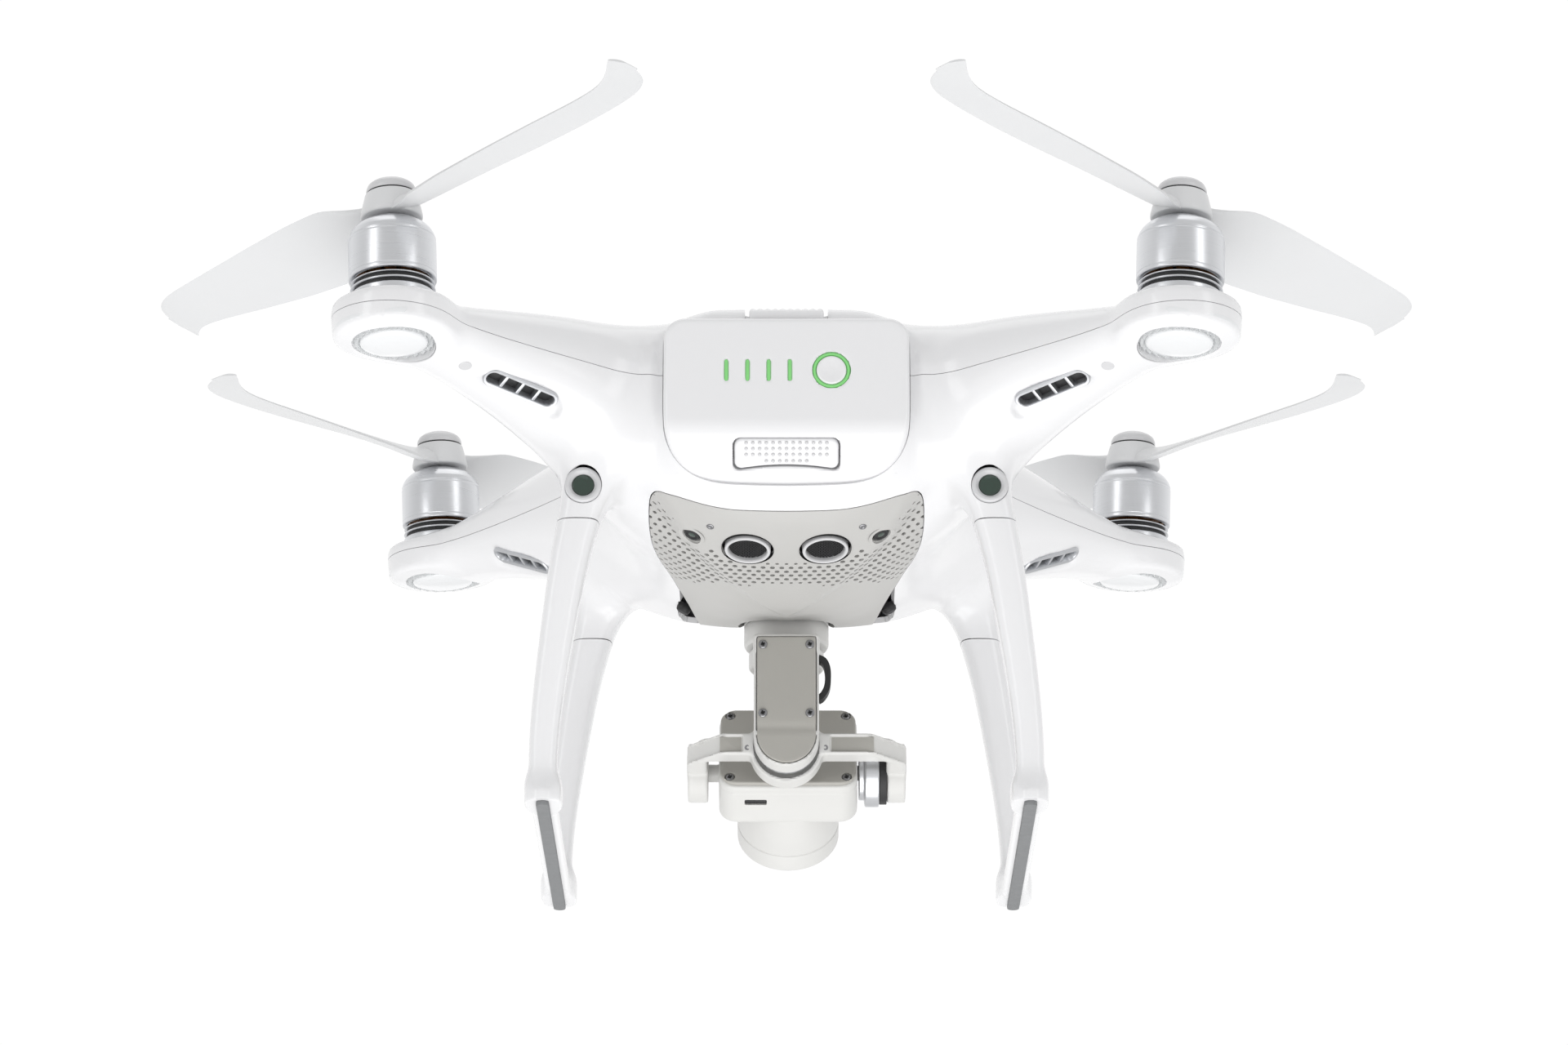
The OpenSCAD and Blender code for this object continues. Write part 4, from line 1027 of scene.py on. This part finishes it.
    # plug outboard of the vent
    if sy < 0:
        pm = under_frame(air_field, sx*101.5, -111.5)
        turned("plug_" + tag, [(2.1, -1.0), (2.1, 0.0), (1.8, 0.16), (0.9, 0.1), (0, 0.05)], "airframe",
               "sensor_ring", pm, n=32, r=0.1)
    # obstacle sensor beside the leg
    m = frame_at((sx*SENSOR[0], sy*SENSOR[1], ZC + SENSOR[2]), (0, sy, 0))
    turned("eye_ring_" + tag, [(5.85, -4), (5.85, 5.9), (5.5, 6.3), (5.0, 6.35), (4.6, 6.3), (3.7, 5.3),
           (3.6, 5.0), (3.6, 3.4), (0, 3.4)], "airframe", "sensor_ring", m,
           ["rear_sensors" if sy < 0 else "front_sensors"], 64, 0.2)
    turned("eye_window_" + tag, [(3.55, 3.5), (3.55, 5.0), (3.2, 5.15), (2.0, 5.3), (0, 5.4)], "airframe",
           "dark_glass", m, ["sensor_windows"], 48, 0.2)

# skid pads
for sx in (-1, 1):
    outl = np.array([(2.05*math.cos(a + turn), end*66.95 + 2.05*math.sin(a + turn))
                     for end, turn in ((1, 0), (-1, math.pi)) for a in np.linspace(0, math.pi, 12)])
    side = "right" if sx > 0 else "left"
    make("pad_" + side[0], *slab(outl, 0.0, 1.75, 0.35, Matrix.Translation((sx*77.2, 0, 0))), "airframe",
         "pad_rubber", ["skid_pad_" + side], 40)

# --- battery end
def cap_field(X, Y, Z):
    z = Z - ZC
    d = cap_plan(X, Z)
    # rear face upright above z = 2, sloping forward below it
    face = -90 - Y
    slope = -(Y + 90)*SLOPE_S - (z - 2)*SLOPE_C
    d = smax(d, smax(face, slope, 2.4), 2.2)
    d = np.maximum(d, Y + 73.5)
    ring = np.hypot(X - 14.4, z - 21.9) - 6.15
    d = smax(d, -np.maximum(ring, Y + 86.5), 0.25)
    for x in LEVELS:
        d = smax(d, -rbox((x, -90, 21.9), (0.62, 0.9, 3.7), 0.5)(X, Y, z), 0.15)
    d = smax(d, -rbox((0, -75.8, 44.5), (12.8, 12.15, 7.6), 1.5)(X, Y, z), 0.5)
    return smax(d, -latch_room(X, Y, z, 0.35), 0.4)


def latch_room(X, Y, z, g):
    """Pocket of the lower latch, on the sloping face."""
    v = (z - 2)*SLOPE_S - (Y + 90)*SLOPE_C          # up along the slope
    w = -(Y + 90)*SLOPE_S - (z - 2)*SLOPE_C         # out of the slope
    u = np.abs(X)
    v = v + 1.7*(u/16.85)**2*np.clip((-7 - v)/5, 0, 1)
    du, dv = u - 16.85 + 2.8 - g, np.abs(v + 8.2) - 4.7 + 2.8 - g
    return np.maximum(corner(du, dv) - 2.8, -w - 4.5)


solid("battery_end", cap_field, (-41, -91.5, ZC - 15), (41, -72.5, ZC + 41.5), 0.62, "battery",
      "battery_white", ["battery_cap"], 40)
for i, x in enumerate(LEVELS):
    make("level_%d" % i, *slab(rect_outline(0.5, 3.55, 0.48, 5), 0, 1.6, 0.2,
         frame_at((x, -88.5, ZC + 21.9), (0, -1, 0))), "battery", "light_green", ["level_lights"], 40)
m = frame_at((14.4, -90, ZC + 21.9), (0, -1, 0))
turned("button_ring", [(5.05, -3), (5.05, -0.25), (5.2, -0.05), (5.75, -0.05), (5.95, -0.3), (5.95, -3),
       (5.05, -3)], "battery", "light_green", m, ["button_light_ring"], 72, 0.1)
turned("button", [(4.85, -6), (4.85, -0.5), (4.7, 0.0), (4.3, 0.25), (3.0, 0.1), (1.5, -0.05), (0, -0.1)],
       "power_key", "battery_white", m, ["power_button"], 72, 0.2)


def upper_latch_field(X, Y, Z):
    z = Z - ZC
    d = rbox((0, -82.85, 41.6), (12, 4.55, 2.1), 1.2)(X, Y, z)
    k = np.round(np.clip(X/2.42 - 0.5, -5, 4)) + 0.5
    bump = np.hypot(X - k*2.42, z - 43.2) - 0.95
    bump = np.maximum(bump, np.abs(Y + 82.85) - 3.6)
    return smin(d, bump, 0.5)


solid("latch_top_grip", upper_latch_field, (-13, -89, ZC + 38.5), (13, -70, ZC + 45.5), 0.42, "latch_top",
      "battery_white", ["upper_latch"], 60)


def lower_latch_field(X, Y, Z):
    z = Z - ZC
    w = -(Y + 90)*SLOPE_S - (z - 2)*SLOPE_C
    return smax(latch_room(X, Y, z, -0.15), w + 0.25, 1.2)


solid("latch_low_grip", lower_latch_field, (-18, -92, ZC - 13), (18, -76.5, ZC + 3), 0.5, "latch_bottom",
      "battery_white", ["lower_latch"], 60)
parts = []
for v0, count in ((-5.0, 13), (-7.0, 13), (-9.0, 13), (-11.2, 7)):
    for i in range(count):
        q = ((i - (count - 1)/2)*2.15, -90 - v0*SLOPE_C + 0.22*SLOPE_S, ZC + 2 + v0*SLOPE_S + 0.22*SLOPE_C)
        parts.append(lathe([(0.62, 0.0), (0.62*0.8, 0.28), (0, 0.36)], 12,
                frame_at(q, (0, -SLOPE_S, -SLOPE_C))))
make("latch_low_dots", *join_mesh(parts), "latch_bottom", "sensor_ring", sharp=60)

# --- gimbal
turned("yaw_can", [(10, ZC - 27.4), (13.1, ZC - 27.6), (13.9, ZC - 28.2), (14.2, ZC - 29),
       (14.2, ZC - 30.4), (13.9, ZC - 30.6), (14.2, ZC - 30.8), (14.2, ZC - 37.3), (13.6, ZC - 38.4),
       (0, ZC - 38.4)][::-1], "airframe", "gimbal_metal", GIMBAL, ["yaw_motor"], 96, 0.3)


def yaw_arm_field(X, Y, Z):
    z = Z - ZC
    r = np.hypot(X, z + 74.2)
    low = smax(r - 10.8, np.abs(Y - 3) - 5, 1.3)
    col = np.where(z < -74.2, low, rbox((0, 3, -60), (10.8, 5, 20.4), 1.3)(X, Y, z))
    head = rcyl((0, 20, -42.8), 2, 12.6, 3.2, 1.2)(X, Y, z)
    neck = rbox((0, 9, -42.8), (10.8, 11, 3.2), 1.2)(X, Y, z)
    d = smin(smin(head, neck, 1.5), col, 1.2)
    # rear recess for the cover
    rec = np.where(z < -74.2, r - 10.0, round_rect(X, z + 57, 10, 16.5, 0.8))
    return smax(d, -np.maximum(rec, Y + 0.75), 0.3)


solid("yaw_arm_body", yaw_arm_field, (-14, -3, TZ - 12), (14, 34, ZC - 38.5), 0.5, "gimbal_yaw",
      "gimbal_metal", ["yaw_arm"], 40)


def cover_field(X, Y, Z):
    z = Z - ZC
    r = np.hypot(X, z + 74.2)
    bulge = 0.9*np.exp(-((z + 72)/1.6)**2)
    rec = np.where(z < -74.2, r - 9.75, round_rect(X, z + 57.4, 9.75, 16.8, 0.8))
    rec = np.where((z < -73) & (z > -75), np.minimum(rec, np.abs(X) - 9.75), rec)
    return smax(rec, np.maximum(-2.35 + bulge*0.5 - Y, Y + 0.9), 0.5)


# the plate gets gimbal_cover, whose darker grey is painted shade on this viewer-facing face
solid("arm_plate", cover_field, (-11, -3.4, TZ - 11), (11, 0, ZC - 39.5), 0.42, "gimbal_yaw",
      "gimbal_cover", ["arm_cover"], 40)
screws("arm", [frame_at((x, -2.3, ZC + z), (0, -1, 0)) for z in (-43.4, -67.1) for x in (-7.8, 7.8)], 1.5,
       0.7, 1.3, "gimbal_yaw", "arm_screws")


def ribbon(points, width, thick, m):
    """Flat cable through 2-D points, width across."""
    p = chaikin_open(points, 3)
    t = np.gradient(p, axis=0)
    t /= np.linalg.norm(t, axis=1)[:, None]
    nn = np.stack([-t[:, 1], t[:, 0]], 1)
    V = []
    for (x, y), (a, b) in zip(p, nn):
        for s, w in ((-1, 0), (-1, width), (1, width), (1, 0)):
            V.append((x + a*s*thick/2, y + b*s*thick/2, w))
    F = rows(4, len(p) - 1) + [[3, 2, 1, 0], [len(V) - 4, len(V) - 3, len(V) - 2, len(V) - 1]]
    return put(V, m), F


def chaikin_open(p, rounds):
    p = np.array(p, float)
    for _ in range(rounds):
        a, b = p[:-1], p[1:]
        q = np.stack([0.75*a + 0.25*b, 0.25*a + 0.75*b], 1).reshape(-1, 2)
        p = np.concatenate([p[:1], q, p[-1:]])
    return p


m = Matrix(((1, 0, 0, 0), (0, 0, 1, 2), (0, 1, 0, ZC), (0, 0, 0, 1)))
v, f = ribbon([(10.6, -46.6), (12.6, -47.4), (13.7, -50), (13.9, -53), (13.6, -57), (12, -59.8),
        (10.6, -60.6)], 5, 2.0, m)
make("flex_cable", v, [q[::-1] for q in f], "gimbal_yaw", "black_trim", ["ribbon_cable"], 30)

m = frame_at((0, 8, TZ), (0, 1, 0))
turned("roll_can", [(0, 0.05), (10.1, 0.05), (10.3, 0.5), (10.3, 2.8), (9.7, 3.1), (9.7, 4), (0, 4)],
       "gimbal_yaw", "motor_metal", m, ["roll_motor"], 72, 0.2)


def bar_field(X, Y, z, sx, xo):
    """Side bar: from the hub sideways, then forward to the tilt axis."""
    x = X*sx
    a = rbox(((xo + 8)/2, 17.6, -73.35), ((xo - 8)/2, 5, 3.7), 0.9)(x, Y, z)
    b = rbox((xo - 3.3, 32, -73.35), (3.3, 19, 3.7), 0.9)(x, Y, z)
    cut = ((x - (xo - 11))*1.25 - (Y - 12.6))*0.625
    d = smax(smin(a, b, 1.5), cut, 2.0)
    # long recess that follows the outer face, with a thin lip round it
    face = smax(12.6 - Y, cut, 2.0)
    ends = np.maximum(14.6 - x, Y - 27.5)
    pocket = np.maximum(np.maximum(np.abs(z + 73.35) - 2.75, ends), -face - 1.1)
    return smax(d, -pocket, 0.35)


def yoke_field(X, Y, Z):
    z = Z - ZC
    r = np.hypot(X, z + 74.2)
    ring = smax(r - 12.3, np.abs(Y - 17.4) - 4.6, 1.0)
    d = smin(ring, bar_field(X, Y, z, 1, 40.3), 1.2)
    d = smin(d, bar_field(X, Y, z, -1, 33.3), 1.2)
    rr = np.hypot(Y - 47, z + 74.2)
    d = smin(d, smax(rr - 10, np.abs(X - 37.15) - 3.15, 0.9), 1.0)
    d = smin(d, smax(rr - 10, np.abs(X + 29.9) - 3.4, 0.9), 1.0)
    d = smax(d, -np.maximum(r - 11.0, Y - 17), 0.4)
    return d


solid("yoke_body", yoke_field, (-35, 11.5, TZ - 14), (41.5, 58, TZ + 14), 0.6, "gimbal_roll",
      "gimbal_metal", ["roll_yoke"], 40)
parts, caps = [], []
for s_, xo in ((-1, 33.3), (1, 40.3)):
    m = frame_at((s_*(14.9 + xo - 11)/2, 13.75, ZC - 73.35), (0, -1, 0))
    parts.append(slab(rect_outline((xo - 11 - 15.1)/2, 2.6, 0.3, 4), -0.3, 0.15, 0.1, m))
    m = frame_at((s_*12.9, 13.1, ZC - 73.3), (0, -1, 0))
    parts.append(slab(rect_outline(1.7, 2.9, 0.4, 4), -0.4, 0.2, 0.1, m))
    m = frame_at((s_*12.9, 12.9, TZ - 0.6), (0, -1, 0))
    caps.append(screw_head(m, 1.15, 0.45))
# the panels get gimbal_cover, whose darker grey is painted shade on these viewer-facing faces
make("yoke_panels", *join_mesh(parts), "gimbal_roll", "gimbal_cover")
make("yoke_screws", *join_mesh(caps), "gimbal_roll", "screw_steel")
m = frame_at((24.4, 47, TZ), (1, 0, 0), (0, 1, 0))
turned("tilt_can", [(2.6, 0.1), (9.0, 0.1), (9.2, 0.4), (9.2, 1.8), (11.2, 2.1), (11.5, 2.5), (11.5, 6.6),
       (11.2, 7.0), (2.6, 7.0)], "gimbal_roll", "motor_metal", m, ["tilt_motor"], 72, 0.2)
turned("tilt_band", [(2.6, 7.05), (10.6, 7.05), (10.6, 9.55), (2.6, 9.55)], "gimbal_roll", "black_trim", m)

# --- camera
CP = math.radians(30)           # the camera looks down by this
cam_m = frame_at((0, 47, TZ), (0, math.sin(CP), math.cos(CP)), (1, 0, 0))
# local x right, y along the lens, z up


def cam_shell(X, Y, Z):
    plan = round_rect(X - 0.6, Z, 23.3, 18, 6)
    d = smax(plan, np.abs(Y + 2.7) - 8.7, 1.6)
    seam = np.abs(Y + 8.4) - 0.22
    d = smax(d, -np.maximum(seam, -plan - 0.5), 0.2)
    d = smin(d, rcyl((-27, 0, 0), 0, 3.0, 6, 0.3)(X, Y, Z), 0.4)
    d = smin(d, rcyl((25, 0, 0), 0, 2.5, 4.6, 0.3)(X, Y, Z), 0.4)
    return smax(d, -rbox((-10.3, -3.9, -18), (3.7, 1.2, 2), 0.3)(X, Y, Z), 0.2)


solid("cam_body", cam_shell, (-34, -12.5, -19.5), (31, 7.5, 19.5), 0.55, "camera", "gimbal_metal",
      ["camera_shell"], 40, cam_m)
make("card_slot", *slab(rect_outline(3.55, 1.05, 0.3, 4), 0, 1.5, 0.1,
     cam_m @ frame_at((-10.3, -3.9, -15.9), (0, 0, -1))), "camera", "black_trim")


def cam_plate(X, Y, Z):
    plan = round_rect(X - 0.6, Z, 22.9, 17.6, 5.6)
    d = smax(plan, np.abs(Y + 12.2) - 0.85, 0.7)
    for x in (-19, 20.2):
        for z in (-14.7, 14.7):
            d = smax(d, -np.maximum(np.hypot(X - x, Z - z) - 1.75, Y + 12.2), 0.15)
    return d


# the back plate gets gimbal_cover, whose darker grey is painted shade on this viewer-facing face
solid("cam_plate", cam_plate, (-24, -13.6, -19), (25.2, -10.9, 19), 0.42, "camera", "gimbal_cover",
      ["camera_back"], 40, cam_m)
screws("cam", [cam_m @ frame_at((x, -12.5, z), (0, -1, 0)) for x in (-19, 20.2) for z in (-14.7, 14.7)],
       1.45, 0.5, 1.2, "camera", "back_screws")
m = cam_m @ frame_at((0.6, 0, 0), (0, 1, 0))
turned("barrel", [(13.2, 5.0), (17.0, 5.0), (17.3, 5.6), (17.3, 22.1), (16.95, 22.35), (16.95, 22.75),
       (17.3, 23.0), (17.3, 29.3), (16.9, 29.9), (16.3, 30.1), (15.8, 30.0), (15.5, 29.7), (15.5, 26.9),
       (14.9, 26.6), (14.5, 26.0), (13.6, 25.8), (13.2, 25.0), (12.4, 24.6), (11.6, 23.6), (11.2, 22.2),
       (11.2, 21.4)], "camera", "gimbal_metal", m, ["lens_barrel"], 112, 0.25, 35)
turned("lens_trim", [(15.4, 27.2), (15.4, 26.6), (14.4, 25.9), (13.4, 25.6), (12.9, 24.9), (12.2, 24.4),
       (11.3, 23.2), (11.0, 21.8)], "camera", "black_trim", m, n=96)
turned("lens_front", [(11.1, 21.6), (11.1, 22.3), (9, 23.3), (6, 24.1), (3, 24.5), (0, 24.6)], "camera",
       "dark_glass", m, ["lens_glass"], 72, 0.2)

# --- stage and light
me = bpy.data.meshes.new("floor")
me.from_pydata([(-9, -9, -1.9), (9, -9, -1.9), (9, 9, -1.9), (-9, 9, -1.9)], [], [(0, 1, 2, 3)])
floor = bpy.data.objects.new("floor", me)
bpy.context.scene.collection.objects.link(floor)
me.materials.append(material("floor_white", (0.86, 0.86, 0.86), 0.9, spec=0.1, vary=0.01, vary_scale=2))
bpy.context.scene.view_settings.view_transform = "Standard"

world = bpy.data.worlds.new("world")
bpy.context.scene.world = world
world.use_nodes = True
nt = world.node_tree
bg = nt.nodes["Background"]
sep = add_node(nt, "SeparateXYZ")
nt.links.new(add_node(nt, "TexCoord").outputs["Generated"], sep.inputs[0])
# brighter towards the front of the object, which the camera looks at from behind
mr = add_node(nt, "MapRange", From_Min=-0.35, From_Max=0.75, To_Min=0.68, To_Max=1.02)
nt.links.new(sep.outputs["Y"], mr.inputs["Value"])
nt.links.new(mr.outputs["Result"], bg.inputs["Strength"])
bg.inputs["Color"].default_value = (1, 1, 1, 1)


def area(name, loc, aim_z, size, power, size_y=None):
    """Soft light aimed at a height on the object's middle line, metres and watts."""
    li = bpy.data.lights.new(name, "AREA")
    li.energy = power
    li.size = size
    if size_y:
        li.shape = "RECTANGLE"
        li.size_y = size_y
    o = bpy.data.objects.new(name, li)
    bpy.context.scene.collection.objects.link(o)
    o.location = loc
    o.rotation_euler = (Vector((0, 0, aim_z)) - Vector(loc)).to_track_quat("-Z", "Y").to_euler()


area("under", (0.0, -0.5, -1.2), 0.1, 1.6, 15)
area("key_left", (-1.4, -1.3, 0.5), 0.12, 0.5, 4, 1.6)
area("key_right", (1.4, -1.2, 0.6), 0.12, 0.5, 3.4, 1.6)
area("top", (0.0, 0.2, 1.9), 0.1, 1.6, 4)
